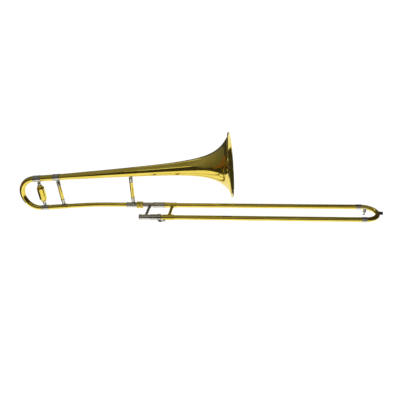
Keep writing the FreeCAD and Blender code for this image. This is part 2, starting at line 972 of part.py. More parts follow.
def bore_across(body, name, radius, centre):
    """A hole along the key's pivot."""
    sketch = new_sketch(body, name, "XZ_Plane")
    draw_circle(sketch, as_size(radius), centre)
    hole = body.newObject("PartDesign::Pocket", f"{name}_cut")
    hole.Profile = sketch
    hole.Type = "ThroughAll"
    hole.Midplane = True
    sketch.Visibility = False


def water_key_bracket():
    """The saddle on the bow's inner side: a plate round the tube and two ears for the pivot."""
    body = new_body("water_key_bracket")
    ear = [
        (5.6, -3.6),
        (8.2, -1.0),
        (PIVOT_INWARD + 2.0, PIVOT_BELOW + 2.2),
        (PIVOT_INWARD + 2.0, PIVOT_BELOW - 1.2),
        (PIVOT_INWARD + 1.2, PIVOT_BELOW - 2.0),
        (PIVOT_INWARD - 1.2, PIVOT_BELOW - 2.0),
        (PIVOT_INWARD - 2.0, PIVOT_BELOW - 1.2),
        (4.6, -5.4),
    ]
    saddle = [(6.0, -3.2), (8.6, -0.6), (9.2, -4.0), (8.6, -6.6), (4.4, -6.0)]
    reach = EAR_FROM + EAR_THICKNESS
    pad_across(body, "bracket_saddle", saddle, -reach, reach)
    pad_across(body, "bracket_near_ear", ear, -reach, -EAR_FROM)
    pad_across(body, "bracket_far_ear", ear, EAR_FROM, reach)
    bore_across(body, "bracket_bore", PIVOT_RADIUS + 0.05, (PIVOT_INWARD, PIVOT_BELOW))
    stand(body, key_leg())
    pieces.append(body)
    cut_to("water_key_bracket", body, bow_tool("bow_at_bracket", 0.02))


def pivot_leg():
    """A leg along the water key's pivot."""
    place = key_place()
    angle = as_size(KEY_ANGLE)
    start = (
        place[0] - sine(angle) * PIVOT_INWARD,
        place[1] - cosine(angle) * PIVOT_INWARD,
        as_size(PIVOT_BELOW),
    )
    return (start, Vector(0, 0, 1), as_size(-KEY_ANGLE))


def water_key_pivot():
    """The pivot screw, with its head outside one ear."""
    reach = EAR_FROM + EAR_THICKNESS
    turned(
        "water_key_pivot",
        pivot_leg(),
        [
            (-reach - 1.2, 0.0),
            (reach + 0.6, 0.0),
            (reach + 0.6, PIVOT_RADIUS - 0.3),
            (reach + 0.3, PIVOT_RADIUS),
            (-reach - 0.05, PIVOT_RADIUS),
            (-reach - 0.05, 1.9),
            (-reach - 0.9, 1.9),
            (-reach - 1.2, 1.5),
        ],
    )


def water_key_spring():
    """The return spring's coils, side by side round the pivot, between the lever's hub and an ear."""
    wire = 0.22
    coil_radius = 1.75
    coils = []
    for number in range(3):
        coil = doc.addObject("Part::Torus", f"spring_coil_{number + 1}")
        coil.Radius1 = coil_radius
        coil.Radius2 = wire
        along = 2.04 + number * (2 * wire + 0.02)
        start, turn_axis, turn = pivot_leg()
        coil.Placement = Placement(
            Vector(*(size.value for size in start)), Rotation(turn_axis, turn.value)
        ) * Placement(Vector(along, 0, 0), Rotation(Vector(0, 1, 0), 90))
        coils.append(coil)
    group = doc.addObject("Part::Compound", "spring_coils")
    group.Links = coils
    group.Label = "water_key_spring"
    pieces.append(group)


def water_key_lever():
    """The key: a cup that holds the cork, an arm over the pivot and a round touch for the finger."""
    body = new_body("water_key_lever")
    arm_half_width = 1.7
    arm = [
        (-3.4, -13.6),
        (3.6, -13.6),
        (PIVOT_INWARD - 2.2, PIVOT_BELOW - 0.9),
        (PIVOT_INWARD, PIVOT_BELOW + 1.9),
        (PIVOT_INWARD + 1.9, PIVOT_BELOW),
        (14.6, -17.2),
        (13.8, -18.6),
        (PIVOT_INWARD, -14.0),
        (3.8, -15.6),
        (-3.4, -15.4),
    ]
    pad_across(body, "key_arm", arm, -arm_half_width, arm_half_width)
    bore_across(body, "key_bore", PIVOT_RADIUS + 0.05, (PIVOT_INWARD, PIVOT_BELOW))
    for name, radius, centre, low, height in (
        ("key_cup", 4.3, (0.0, 0.0), -15.8, 2.2),
        ("key_touch", 3.0, (14.4, 0.0), -19.0, 1.8),
    ):
        sketch = new_sketch(body, name, "XY_Plane")
        sketch.AttachmentOffset = Placement(Vector(0, 0, low), Rotation())
        draw_circle(sketch, as_size(radius), centre)
        pad = body.newObject("PartDesign::Pad", f"{name}_pad")
        pad.Profile = sketch
        pad.Length = height
        sketch.Visibility = False
    stand(body, key_leg())
    pieces.append(body)


def water_key_cork():
    """The cork pad that closes the nipple."""
    tube("water_key_cork", along_key_drop(), 11.9, 13.55, 3.5, 0.0)


def bumper():
    """The slide's end: a metal socket on the bow and the rubber foot pressed into it."""
    half = dim("slide_spacing") * 0.5
    leg = ((as_size(0), half, as_size(0)), Vector(0, 1, 0), as_size(0))
    apex = dim("bow_centre_at") + half + dim("outer_tube_outer_radius")
    radius = dim("bumper_radius")
    socket_to = apex + 2.2
    end = dim("bumper_to")
    stem = radius - 1.9
    socket = turned(
        "bumper_socket",
        leg,
        [
            (apex - 3.0, 0.0),
            (apex + 0.3, 0.0),
            (apex + 0.3, stem),
            (socket_to, stem),
            (socket_to, radius + 0.1),
            (apex + 0.2, radius + 0.3),
            (apex - 3.0, radius + 1.8),
        ],
    )
    cut_to("bumper_socket", socket, bow_tool("bow_at_bumper", 0.02))
    turned(
        "rubber_bumper",
        leg,
        [
            (apex + 0.35, 0.0),
            (end, 0.0),
            (end, radius - 2.2),
            (end - 0.5, radius - 1.0),
            (end - 1.5, radius - 0.3),
            (end - 2.6, radius),
            (socket_to + 0.05, radius),
            (socket_to + 0.05, stem - 0.03),
            (apex + 0.35, stem - 0.03),
        ],
    )


# Slide lock: a ring on the mouthpiece-side barrel whose hook turns in front of a lug on the outer slide.

LOCK_RING_FROM = 60.2
LOCK_RING_TO = 70.0
LOCK_TURN = -46.0
LUG_AT = 79.8
LUG_RADIUS = 1.6


def slide_lock_ring():
    body = new_body("slide_lock_ring")
    bore = dim("barrel_radius") + dim("running_gap")
    crest = bore + 1.35
    sketch = new_sketch(body, "lock_ring_outline", "XZ_Plane")
    draw_outline(
        sketch,
        [
            (LOCK_RING_FROM, bore),
            (LOCK_RING_TO, bore),
            (LOCK_RING_TO, crest - 0.3),
            (LOCK_RING_TO - 0.6, crest),
            (LOCK_RING_FROM + 0.6, crest),
            (LOCK_RING_FROM, crest - 0.3),
        ],
    )
    turn_about_axis(body, sketch)
    hook_from = LUG_AT + LUG_RADIUS + 0.4
    hook_to = hook_from + 2.4
    for name, start, end, low, high, near, far in (
        ("lock_root", LOCK_RING_FROM + 1.0, LOCK_RING_TO, -13.6, -9.9, -2.6, 2.6),
        ("lock_arm", LOCK_RING_FROM + 1.0, hook_to, -13.6, -11.0, -2.6, 2.6),
        ("lock_hook", hook_from, hook_to, -13.6, -11.0, -2.6, 6.6),
        ("lock_thumb_piece", LOCK_RING_FROM + 3.0, LOCK_RING_TO + 4.0, -16.0, -13.5, -1.1, 1.1),
    ):
        side = new_sketch(body, name, "YZ_Plane")
        side.AttachmentOffset = Placement(Vector(0, 0, start), Rotation())
        draw_outline(side, [(near, low), (far, low), (far, high), (near, high)])
        pad = body.newObject("PartDesign::Pad", f"{name}_pad")
        pad.Profile = side
        pad.Length = end - start
        side.Visibility = False
    stand(body, ((as_size(0), as_size(0), as_size(0)), Vector(1, 0, 0), as_size(LOCK_TURN)))
    pieces.append(body)


def slide_lock_lug():
    """The lug on the outer slide's handle ferrule, cut to the ferrule at its foot."""
    leg = ((as_size(LUG_AT), as_size(0), as_size(0)), Vector(0, 1, 0), as_size(90))
    seat = dim("handle_ferrule_radius") + dim("solder_gap")
    body = new_body("slide_lock_lug")
    sketch = new_sketch(body, "lug_outline", "XZ_Plane")
    root = seat - 1.5
    outline = [
        (root, 0.0),
        (12.9, 0.0),
        (12.9, LUG_RADIUS - 0.4),
        (12.5, LUG_RADIUS),
        (root, LUG_RADIUS),
    ]
    draw_outline(sketch, outline)
    turn_about_axis(body, sketch)
    stand(body, leg)
    pieces.append(body)
    ferrule = doc.addObject("Part::Cylinder", "ferrule_at_lug")
    ferrule.Radius = seat.value
    ferrule.setExpression("Radius", seat.text)
    ferrule.Height = 20.0
    ferrule.Placement = Placement(Vector(LUG_AT - 10.0, 0, 0), Rotation(Vector(0, 1, 0), 90))
    cut_to("slide_lock_lug", body, ferrule)


def lock_nut():
    """The nut that holds the bell section on the tenon, with two knurled bands."""
    start = dim("lock_nut_from")
    end = dim("lock_nut_to")
    crest = dim("lock_nut_radius")
    thread = dim("bell_receiver_radius") + 0.75
    lip = dim("receiver_radius") + 0.12
    groove = crest - 0.6
    turned(
        "bell_lock_nut",
        BELL_LEG,
        [
            (start, thread),
            (end - 2.1, thread),
            (end - 2.1, lip),
            (end, lip),
            (end, crest - 0.9),
            (end - 0.9, crest),
            (end - 7.6, crest),
            (end - 8.2, groove),
            (start + 8.2, groove),
            (start + 7.6, crest),
            (start + 0.9, crest),
            (start, crest - 0.9),
        ],
    )


def inner_slide():
    mouthpiece_receiver()
    leadpipe()
    bell_tenon()
    barrel_from = dim("receiver_length")
    barrel_to = dim("mouthpiece_barrel_to")
    bell_barrel_from = dim("bell_barrel_from")
    bell_barrel_to = dim("bell_barrel_to")
    inner_slide_tube("mouthpiece_side_inner_tube", MOUTHPIECE_LEG, barrel_from - 7.8)
    inner_slide_tube("bell_side_inner_tube", BELL_LEG, bell_barrel_from - 8.0)
    cork_barrel("mouthpiece_side_barrel", MOUTHPIECE_LEG, barrel_from + 0.05, barrel_to, 58.6)
    cork_barrel("bell_side_barrel", BELL_LEG, bell_barrel_from + 0.05, bell_barrel_to, 64.5)
    stop = dim("outer_tube_from")
    slide_cork("mouthpiece_side_cork", MOUTHPIECE_LEG, barrel_from + 3.2, stop - 0.4)
    slide_cork("bell_side_cork", BELL_LEG, bell_barrel_from + 3.2, stop - 4.4)
    spacing = dim("slide_spacing")
    radius = dim("receiver_radius")
    rod = dim("slide_brace_radius") - 0.4
    brace("inner_brace", across_slide(dim("inner_brace_at")), spacing, radius, radius, rod, 8.0)


def outer_slide():
    outer = dim("outer_tube_outer_radius")
    bore = dim("outer_tube_bore_radius")
    start = dim("outer_tube_from")
    end = dim("outer_tube_to") - 7.0
    tube("mouthpiece_side_outer_tube", MOUTHPIECE_LEG, start, end, outer, bore)
    tube("bell_side_outer_tube", BELL_LEG, start - 4.0, end, outer, bore)
    handle_ferrule("mouthpiece_side_handle_ferrule", MOUTHPIECE_LEG, 76.0, 111.0)
    handle_ferrule("bell_side_handle_ferrule", BELL_LEG, 68.8, 107.0)
    spacing = dim("slide_spacing")
    radius = dim("handle_ferrule_radius")
    rod = dim("slide_brace_radius")
    brace("slide_brace", across_slide(dim("slide_brace_at")), spacing, radius, radius, rod, 9.0)
    ferrule_from = dim("bow_ferrule_from")
    ferrule_to = ferrule_from + dim("bow_ferrule_length")
    for label, leg in (("mouthpiece_side_bow_ferrule", MOUTHPIECE_LEG), ("bell_side_bow_ferrule", BELL_LEG)):
        seat = outer + dim("solder_gap")
        beaded_sleeve(label, leg, ferrule_from, ferrule_to, dim("bow_ferrule_radius"), seat, 0.4, 1.6)
    slide_bow()
    bumper()
    water_key_nipple()
    water_key_bracket()
    water_key_pivot()
    water_key_spring()
    slide_lock_lug()


def bell_section():
    bell()
    bell_rim_wire()
    bell_tail_ferrule()
    tuning_sleeves()
    neckpipe()
    bell_receiver()
    front_bell_brace()
    lower = dim("lower_sleeve_radius")
    upper = dim("upper_sleeve_radius") + 0.85
    leg = across_bell_section(dim("rear_brace_at"))
    brace("rear_brace", leg, dim("leg_spacing"), lower, upper, dim("brace_radius"), 20.0, 0.3)


def tuning_slide():
    tuning_crook()
    small = dim("crook_small_radius")
    large = dim("crook_large_radius")
    crook_ferrule("lower_crook_ferrule", LOWER_LEG, small, dim("lower_leg_radius"))
    crook_ferrule("upper_crook_ferrule", BELL_AXIS, large, dim("upper_leg_radius"))
    tuning_legs()
    leg = across_bell_section(dim("tuning_brace_at"))
    rod = dim("tuning_brace_radius")
    brace("tuning_brace", leg, dim("leg_spacing"), small + 0.85, large + 0.85, rod, 9.0, 0.0, 1.4)
    counterweight(leg)


inner_slide()
slide_lock_ring()
outer_slide()
water_key_lever()
water_key_cork()
bell_section()
lock_nut()
tuning_slide()
doc.recompute()

for item in doc.Objects:
    if "Invalid" in item.State or "Error" in item.State:
        raise RuntimeError(f"{item.Label} failed: {item.State}")

os.makedirs("parts", exist_ok=True)
for piece in pieces:
    if piece.Shape.isNull() or not piece.Shape.isValid():
        raise RuntimeError(f"{piece.Label} has no valid shape")
    piece.Shape.exportStep(os.path.join("parts", f"{piece.Label}.step"))
print(f"{len(pieces)} pieces")
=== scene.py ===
"""The looks of the trombone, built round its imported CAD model, in metres.

Every turned part is turned again from its CAD outline with rounded corners, the bent tubes are swept,
the brace feet wrap round their tubes, and the bell is one horn with its rolled rim.
"""

import json
import math

import bmesh
import bpy
import numpy as np
from mathutils import Matrix, Vector


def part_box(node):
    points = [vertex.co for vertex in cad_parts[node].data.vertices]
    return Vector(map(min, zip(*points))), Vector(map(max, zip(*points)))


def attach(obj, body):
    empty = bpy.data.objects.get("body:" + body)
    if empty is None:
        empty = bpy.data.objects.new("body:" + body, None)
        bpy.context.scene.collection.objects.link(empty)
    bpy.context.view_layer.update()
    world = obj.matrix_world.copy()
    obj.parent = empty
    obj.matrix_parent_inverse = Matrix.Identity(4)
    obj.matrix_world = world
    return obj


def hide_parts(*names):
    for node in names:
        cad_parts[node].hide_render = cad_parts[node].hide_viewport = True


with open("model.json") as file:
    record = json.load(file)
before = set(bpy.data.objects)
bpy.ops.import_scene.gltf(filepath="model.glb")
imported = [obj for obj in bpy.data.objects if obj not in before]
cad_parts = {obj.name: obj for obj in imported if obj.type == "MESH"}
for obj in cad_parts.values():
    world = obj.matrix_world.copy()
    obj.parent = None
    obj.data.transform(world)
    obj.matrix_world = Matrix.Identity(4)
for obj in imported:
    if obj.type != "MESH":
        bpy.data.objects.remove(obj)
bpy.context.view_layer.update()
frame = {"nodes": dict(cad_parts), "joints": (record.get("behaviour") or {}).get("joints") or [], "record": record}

# The directions and the main sizes, as in the CAD model.
MM = 0.001
X_AXIS = np.array((1.0, 0.0, 0.0))
Y_AXIS = np.array((0.0, 1.0, 0.0))
Z_AXIS = np.array((0.0, 0.0, 1.0))
pull = next(j for j in frame["joints"] if j["name"] == "tuning_slide_pull")
ALONG_BELL = -np.array(pull["axis"], float) / np.linalg.norm(pull["axis"])
UP_BELL = np.cross(ALONG_BELL, Y_AXIS)
BELL_SIDE = 0.084
NECK_CORNER = np.array((-0.1728, BELL_SIDE, 0.0))
LEG_SPACING = 0.1073
KEY_ANGLE = math.radians(22.0)
PIVOT_AXIS = np.array((math.cos(KEY_ANGLE), -math.sin(KEY_ANGLE), 0.0))
BODIES = frame["record"]["behaviour"]["bodies"]
BODY_OF = {node: body for body, nodes in BODIES.items() for node in nodes}

# Materials.


def node_tree(name):
    material = bpy.data.materials.new(name)
    material.use_nodes = True
    tree = material.node_tree
    return material, tree, tree.nodes["Principled BSDF"]


def add(tree, kind, **settings):
    """A new node with its properties and unlinked input values."""
    node = tree.nodes.new(kind)
    for key, value in settings.items():
        if key in node.inputs:
            node.inputs[key].default_value = value
        else:
            setattr(node, key, value)
    return node


def noise(tree, vector, scale, detail=2.0, roughness=0.5):
    node = add(tree, "ShaderNodeTexNoise", Scale=scale, Detail=detail, Roughness=roughness)
    tree.links.new(vector, node.inputs["Vector"])
    return node.outputs["Fac"]


def ranged(tree, value, source, target):
    """The value carried from one (low, high) range to another, and clamped."""
    node = add(tree, "ShaderNodeMapRange")
    for socket, number in zip(("From Min", "From Max", "To Min", "To Max"), (*source, *target)):
        node.inputs[socket].default_value = number
    tree.links.new(value, node.inputs["Value"])
    return node.outputs["Result"]


def mixed(tree, factor, a, b):
    node = tree.nodes.new("ShaderNodeMix")
    node.data_type = "RGBA"
    tree.links.new(factor, node.inputs["Factor"])
    for socket, value in (("A", a), ("B", b)):
        target = next(s for s in node.inputs if s.name == socket and s.type == "RGBA")
        if isinstance(value, tuple):
            target.default_value = (*value, 1.0)
        else:
            tree.links.new(value, target)
    return next(s for s in node.outputs if s.type == "RGBA")


def maths(tree, operation, a, b):
    node = add(tree, "ShaderNodeMath", operation=operation)
    for socket, value in zip(node.inputs, (a, b)):
        if isinstance(value, float):
            socket.default_value = value
        else:
            tree.links.new(value, socket)
    return node.outputs["Value"]


def stretched(tree, vector, scale):
    node = add(tree, "ShaderNodeMapping", Scale=scale)
    tree.links.new(vector, node.inputs["Vector"])
    return node.outputs["Vector"]


def bumped(tree, shader, *layers):
    """Bump layers of (height socket, height in metres, strength), one on the other."""
    below = None
    for height, distance, strength in layers:
        bump = add(tree, "ShaderNodeBump", Strength=strength, Distance=distance)
        tree.links.new(height, bump.inputs["Height"])
        if below:
            tree.links.new(below, bump.inputs["Normal"])
        below = bump.outputs["Normal"]
    tree.links.new(below, shader.inputs["Normal"])


def polished_metal(name, light, deep, dirt_and_shade, roughness, coat, waviness):
    """Polished metal: uneven tone, hairlines along the work, finger smears, dirt spots, and painted shade in the
    corners.
    """
    material, tree, shader = node_tree(name)
    place = tree.nodes.new("ShaderNodeTexCoord").outputs["Object"]
    grain = add(tree, "ShaderNodeAttribute", attribute_name="grain").outputs["Vector"]
    wear_and_shade = add(tree, "ShaderNodeAttribute", attribute_name="wear_and_shade").outputs["Fac"]
    tone = ranged(tree, noise(tree, place, scale=16.0, detail=3.0), (0.38, 0.66), (0.0, 0.8))
    colour = mixed(tree, tone, light, deep)
    clouds = noise(tree, place, scale=130.0, detail=4.0, roughness=0.65)
    colour = mixed(tree, ranged(tree, clouds, (0.6, 0.8), (0.0, 0.35)), colour, deep)
    spots = ranged(tree, noise(tree, place, scale=900.0), (0.72, 0.8), (0.0, 0.5))
    # Painted shade: points marked below zero, in corners, take the dark colour as if shade fell there, and are
    # made rougher.
    corner_shade_mask = ranged(tree, wear_and_shade, (-1.0, 0.0), (0.85, 0.0))
    colour = mixed(tree, maths(tree, "MAXIMUM", spots, corner_shade_mask), colour, dirt_and_shade)
    tree.links.new(colour, shader.inputs["Base Color"])
    hairlines = noise(tree, stretched(tree, grain, (30.0, 5200.0, 5200.0)), scale=1.0, roughness=0.6)
    rings = noise(tree, stretched(tree, grain, (4200.0, 12.0, 12.0)), scale=1.0, roughness=0.6)
    touches = noise(tree, place, scale=45.0, detail=5.0, roughness=0.7)
    smears = ranged(tree, touches, (0.5, 0.72), (0.0, 0.07))
    fine = ranged(tree, maths(tree, "MAXIMUM", hairlines, rings), (0.55, 0.8), (0.0, 0.06))
    rough = maths(tree, "ADD", maths(tree, "ADD", smears, fine), roughness)
    rough = maths(tree, "ADD", rough, maths(tree, "MULTIPLY", corner_shade_mask, 0.25))
    tree.links.new(rough, shader.inputs["Roughness"])
    waves = noise(tree, place, scale=55.0, roughness=0.4)
    scratch_depth, scratch_strength = 0.000004, 0.35
    bumped(
        tree,
        shader,
        (waves, 0.0001 * waviness, 1.0),
        (hairlines, scratch_depth, scratch_strength),
        (rings, scratch_depth, scratch_strength),
    )
    shader.inputs["Metallic"].default_value = 1.0
    shader.inputs["Coat Weight"].default_value = coat
    shader.inputs["Coat Roughness"].default_value = 0.05
    shader.inputs["Coat IOR"].default_value = 1.48
    return material


def plain_material(name, light, deep, roughness, scale, relief, speckle, metallic=0.0):
    """Rubber, cork and steel: a base tone, dark specks and a surface with relief in metres."""
    material, tree, shader = node_tree(name)
    place = tree.nodes.new("ShaderNodeTexCoord").outputs["Object"]
    tone = ranged(tree, noise(tree, place, scale, detail=5.0, roughness=0.65), (0.35, 0.7), (0.0, 1.0))
    colour = mixed(tree, tone, light, deep)
    cells = add(tree, "ShaderNodeTexVoronoi", Scale=scale * 2.4)
    tree.links.new(place, cells.inputs["Vector"])
    specks = ranged(tree, cells.outputs["Distance"], (0.1, 0.32), (speckle, 0.0))
    colour = mixed(tree, specks, colour, tuple(channel * 0.35 for channel in deep))
    tree.links.new(colour, shader.inputs["Base Color"])
    fine = noise(tree, place, scale * 5.0, detail=4.0, roughness=0.6)
    rough = ranged(tree, fine, (0.3, 0.7), (roughness - 0.08, roughness + 0.1))
    tree.links.new(rough, shader.inputs["Roughness"])
    bumped(tree, shader, (tone, relief, 0.6), (fine, relief * 0.3, 0.5))
    shader.inputs["Metallic"].default_value = metallic
    return material


MATERIALS = {
    "lacquered_brass": polished_metal(
        "lacquered_brass",
        light=(0.86, 0.69, 0.125),
        deep=(0.78, 0.58, 0.075),
        # The dark colour goes on random spots as dirt and into the corners as painted shade.
        dirt_and_shade=(0.12, 0.06, 0.01),
        roughness=0.07,
        coat=0.12,
        waviness=0.55,
    ),
    "nickel_silver": polished_metal(
        "nickel_silver",
        light=(0.60, 0.58, 0.50),
        deep=(0.45, 0.425, 0.355),
        # The dark colour goes on random spots as dirt and into the corners as painted shade.
        dirt_and_shade=(0.07, 0.06, 0.04),
        roughness=0.08,
        coat=0.05,
        waviness=0.35,
    ),
    "steel": plain_material(
        "steel",
        light=(0.50, 0.49, 0.47),
        deep=(0.36, 0.35, 0.34),
        roughness=0.3,
        scale=700.0,
        relief=0.00001,
        speckle=0.15,
        metallic=1.0,
    ),
    "cork": plain_material(
        "cork",
        light=(0.50, 0.31, 0.16),
        deep=(0.33, 0.19, 0.09),
        roughness=0.85,
        scale=520.0,
        relief=0.00022,
        speckle=0.85,
    ),
    "rubber": plain_material(
        "rubber",
        light=(0.012, 0.0115, 0.012),
        deep=(0.007, 0.007, 0.007),
        roughness=0.5,
        scale=420.0,
        relief=0.00004,
        speckle=0.3,
    ),
}

# Meshes.


SAME_POINT = 1e-7
NO_LENGTH = 1e-8
SMALLEST_RADIUS = 1e-9
# Directions that no axis or path here shares: the first vertex of each ring lies square to them.
OFF_AXIS = (0.3, 0.5, 0.8)
OFF_PATH = (0.31, 0.52, 0.79)


def unit(vector):
    return np.asarray(vector, float) / np.linalg.norm(vector)


def piece(nodes, slot, verts, faces, grain=None, wear_and_shade=None, weighted=True):
    """A shown piece that stands for CAD nodes of one body. Grain is (along the work, across it) in metres for the
    hairlines;
    the wear and shade mark is 1 on a worn crest and -1 in a corner, where it paints shade."""
    name = f"{nodes[0]}_shown"
    mesh = bpy.data.meshes.new(name)
    mesh.from_pydata([tuple(v) for v in verts], [], faces)
    if grain is not None:
        layer = mesh.attributes.new("grain", "FLOAT_VECTOR", "POINT")
        layer.data.foreach_set("vector", np.asarray(grain, np.float32).ravel())
    if wear_and_shade is not None:
        layer = mesh.attributes.new("wear_and_shade", "FLOAT", "POINT")
        layer.data.foreach_set("value", np.asarray(wear_and_shade, np.float32))
    work = bmesh.new()
    work.from_mesh(mesh)
    bmesh.ops.remove_doubles(work, verts=work.verts, dist=SAME_POINT)
    bmesh.ops.dissolve_degenerate(work, edges=work.edges, dist=NO_LENGTH)
    bmesh.ops.recalc_face_normals(work, faces=work.faces)
    work.to_mesh(mesh)
    work.free()
    mesh.polygons.foreach_set("use_smooth", [True] * len(mesh.polygons))
    shown = bpy.data.objects.new(name, mesh)
    bpy.context.scene.collection.objects.link(shown)
    mesh.materials.append(MATERIALS[slot])
    if weighted:
        normals = shown.modifiers.new("even_normals", "WEIGHTED_NORMAL")
        normals.weight = 50
    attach(shown, BODY_OF[nodes[0]])
    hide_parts(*nodes)
    return shown


def grid_faces(rows, columns, loop_rows):
    """Quads between rings of vertices, and from the last ring to the first if the rows loop."""
    faces = []
    for row in range(rows if loop_rows else rows - 1):
        a, b = row * columns, (row + 1) % rows * columns
        for c in range(columns):
            d = (c + 1) % columns
            faces.append((a + c, a + d, b + d, b + c))
    return faces


def joined(parts):
    """One mesh from several (verts, faces, grain, wear and shade marks)."""
    verts, faces, grain, wear_and_shade = [], [], [], []
    for part in parts:
        faces += [tuple(i + len(verts) for i in face) for face in part[1]]
        verts += [tuple(v) for v in part[0]]
        grain += [tuple(g) for g in part[2]]
        wear_and_shade += list(part[3])
    return verts, faces, grain, wear_and_shade


# Outlines: lists of (along the axis, radius).


def numbered(values, gap):
    """A group number for each value; a step of more than the gap starts a new group."""
    order = np.argsort(values)
    ids = np.empty(len(values), int)
    ids[order] = np.concatenate(([0], np.cumsum(np.diff(values[order]) > gap)))
    return ids


def node_points(node):
    mesh = frame["nodes"][node].data
    points = np.empty(len(mesh.vertices) * 3)
    mesh.vertices.foreach_get("co", points)
    return points.reshape(-1, 3)


def outline_of(node, axis):
    """A turned CAD node's axis point, and its outline in order, read from the rings of its mesh."""
    points = node_points(node)
    side = unit(np.cross(axis, OFF_AXIS))
    other = np.cross(axis, side)
    p, q = points @ side, points @ other
    centre = side * (p.min() + p.max()) / 2 + other * (q.min() + q.max()) / 2
    centre = centre - axis * (centre @ axis)
    along = points @ axis
    radius = np.linalg.norm(points - centre - np.outer(along, axis), axis=1)
    rings, ring_of = [], np.zeros(len(points), int)
    place_gap, radius_gap = 2e-5, 9e-5
    steps = numbered(along, place_gap)
    for step in range(steps.max() + 1):
        chosen = np.nonzero(steps == step)[0]
        circles = numbered(radius[chosen], radius_gap)
        for circle in range(circles.max() + 1):
            members = chosen[circles == circle]
            ring_of[members] = len(rings)
            rings.append((along[members].mean(), radius[members].max()))
    near = {i: set() for i in range(len(rings))}
    for polygon in frame["nodes"][node].data.polygons:
        ids = [ring_of[v] for v in polygon.vertices]
        for a, b in zip(ids, ids[1:] + ids[:1]):
            if a != b:
                near[a].add(b)
                near[b].add(a)
    worst = max(len(n) for n in near.values())
    ends = [i for i, n in near.items() if len(n) == 1]
    if worst > 2 or len(ends) not in (0, 2):
        raise ValueError(f"{node} isn't a plain turned part: {worst} neighbours, {len(ends)} ends")
    path, last = [ends[0] if ends else 0], None
    while True:
        ahead = [i for i in near[path[-1]] if i != last]
        if not ahead or ahead[0] == path[0]:
            break
        last = path[-1]
        path.append(ahead[0])
    outline = [rings[i] for i in path]
    if ends:
        outline = [(outline[0][0], 0.0), *outline, (outline[-1][0], 0.0)]
    return centre, outline


def radius_at(node, axis, place):
    """A turned node's outer radius at a place along its axis, and its axis point."""
    centre, outline = outline_of(node, axis)
    found = 0.0
    for (a, r), (b, s) in zip(outline, outline[1:] + outline[:1]):
        if min(a, b) <= place <= max(a, b) and abs(b - a) > 1e-7:
            found = max(found, r + (s - r) * (place - a) / (b - a))
    return centre, found


def softened(outline, size):
    """The outline with rounded corners, and each point's wear and shade mark: 1 on a crest, -1 in a corner, where
    painted shade goes.
    """
    least_turn, steps = math.radians(14), 4
    points = np.array(outline, float)
    area = sum(a[0] * b[1] - b[0] * a[1] for a, b in zip(points, np.roll(points, -1, 0)))
    count = len(points)
    out, wear_and_shade = [], []
    for i, corner in enumerate(points):
        if corner[1] < SMALLEST_RADIUS:
            out.append(corner)
            wear_and_shade.append(0.0)
            continue
        before, after = points[i - 1] - corner, points[(i + 1) % count] - corner
        lb, la = np.linalg.norm(before), np.linalg.norm(after)
        before, after = before / lb, after / la
        turn = math.acos(max(-1.0, min(1.0, float(-before @ after))))
        if turn < least_turn:
            out.append(corner)
            wear_and_shade.append(0.0)
            continue
        cut = min(size, 0.32 * lb, 0.32 * la)
        support = min(3.0 * size, 0.45 * lb, 0.45 * la)
        cross = -before[0] * after[1] + before[1] * after[0]
        side = 1.0 if cross * area > 0 else -1.0
        out.append(corner + before * support)
        wear_and_shade.append(0.0)
        for k in range(steps + 1):
            t = k / steps
            a, b = corner + before * cut, corner + after * cut
            out.append((1 - t) ** 2 * a + 2 * t * (1 - t) * corner + t * t * b)
            wear_and_shade.append(side * (1.0 if 0 < k < steps else 0.5))
        out.append(corner + after * support)
        wear_and_shade.append(0.0)
    return out, wear_and_shade


def revolved(centre, axis, outline, wear_and_shade, segments=96, knurl=None):
    """The surface of an outline turned about an axis. Knurl is (lowest radius, teeth, depth)."""
    side = unit(np.cross(axis, OFF_AXIS))
    other = np.cross(axis, side)
    closed = outline[0][1] > SMALLEST_RADIUS
    verts, grain, wear_and_shade_marks = [], [], []
    for (along, radius), level in zip(outline, wear_and_shade):
        for k in range(segments):
            turn = 2 * math.pi * k / segments
            r = radius
            if knurl and radius > knurl[0]:
                phase = (k * knurl[1] / segments) % 1.0
                r = radius - knurl[2] * abs(2 * phase - 1)
            spoke = side * math.cos(turn) + other * math.sin(turn)
            verts.append(centre + axis * along + spoke * r)
            grain.append((along, r * math.cos(turn), r * math.sin(turn)))
            wear_and_shade_marks.append(level)
    return verts, grid_faces(len(outline), segments, closed), grain, wear_and_shade_marks


def turned(node, axis, slot, size, segments=96, knurl=None):
    """A turned CAD node with corners rounded by a size in mm."""
    centre, outline = outline_of(node, axis)
    soft, wear_and_shade = softened(outline, size * MM)
    mesh = revolved(centre, axis, soft, wear_and_shade, segments, knurl)
    return piece([node], slot, *mesh)


def swept(points, radii, wall=0.0, segments=64, flat=None):
    """A tube along points. With a wall it is hollow; flat is (direction, share) for an oval section."""
    points = np.array(points, float)
    tangents = np.gradient(points, axis=0)
    tangents /= np.linalg.norm(tangents, axis=1)[:, None]
    side = unit(np.cross(tangents[0], OFF_PATH))
    rows, places, distance = [], [], 0.0
    for i, (point, tangent) in enumerate(zip(points, tangents)):
        side = unit(side - tangent * (side @ tangent))
        if i:
            distance += np.linalg.norm(point - points[i - 1])
        rows.append((point, side, np.cross(tangent, side), radii[i]))
        places.append(distance)
    if wall:
        order = [(i, 0.0) for i in range(len(rows))] + [(i, wall) for i in reversed(range(len(rows)))]
    else:
        order = [(0, None), *((i, 0.0) for i in range(len(rows))), (len(rows) - 1, None)]
    verts, grain = [], []
    for i, inset in order:
        point, u, v, radius = rows[i]
        r = 0.0 if inset is None else radius - inset
        for k in range(segments):
            turn = 2 * math.pi * k / segments
            spoke = (u * math.cos(turn) + v * math.sin(turn)) * r
            if flat is not None:
                spoke = spoke - flat[0] * (spoke @ flat[0]) * (1 - flat[1])
            verts.append(point + spoke)
            grain.append((places[i], r * math.cos(turn), r * math.sin(turn)))
    return verts, grid_faces(len(order), segments, bool(wall)), grain, [0.0] * len(verts)


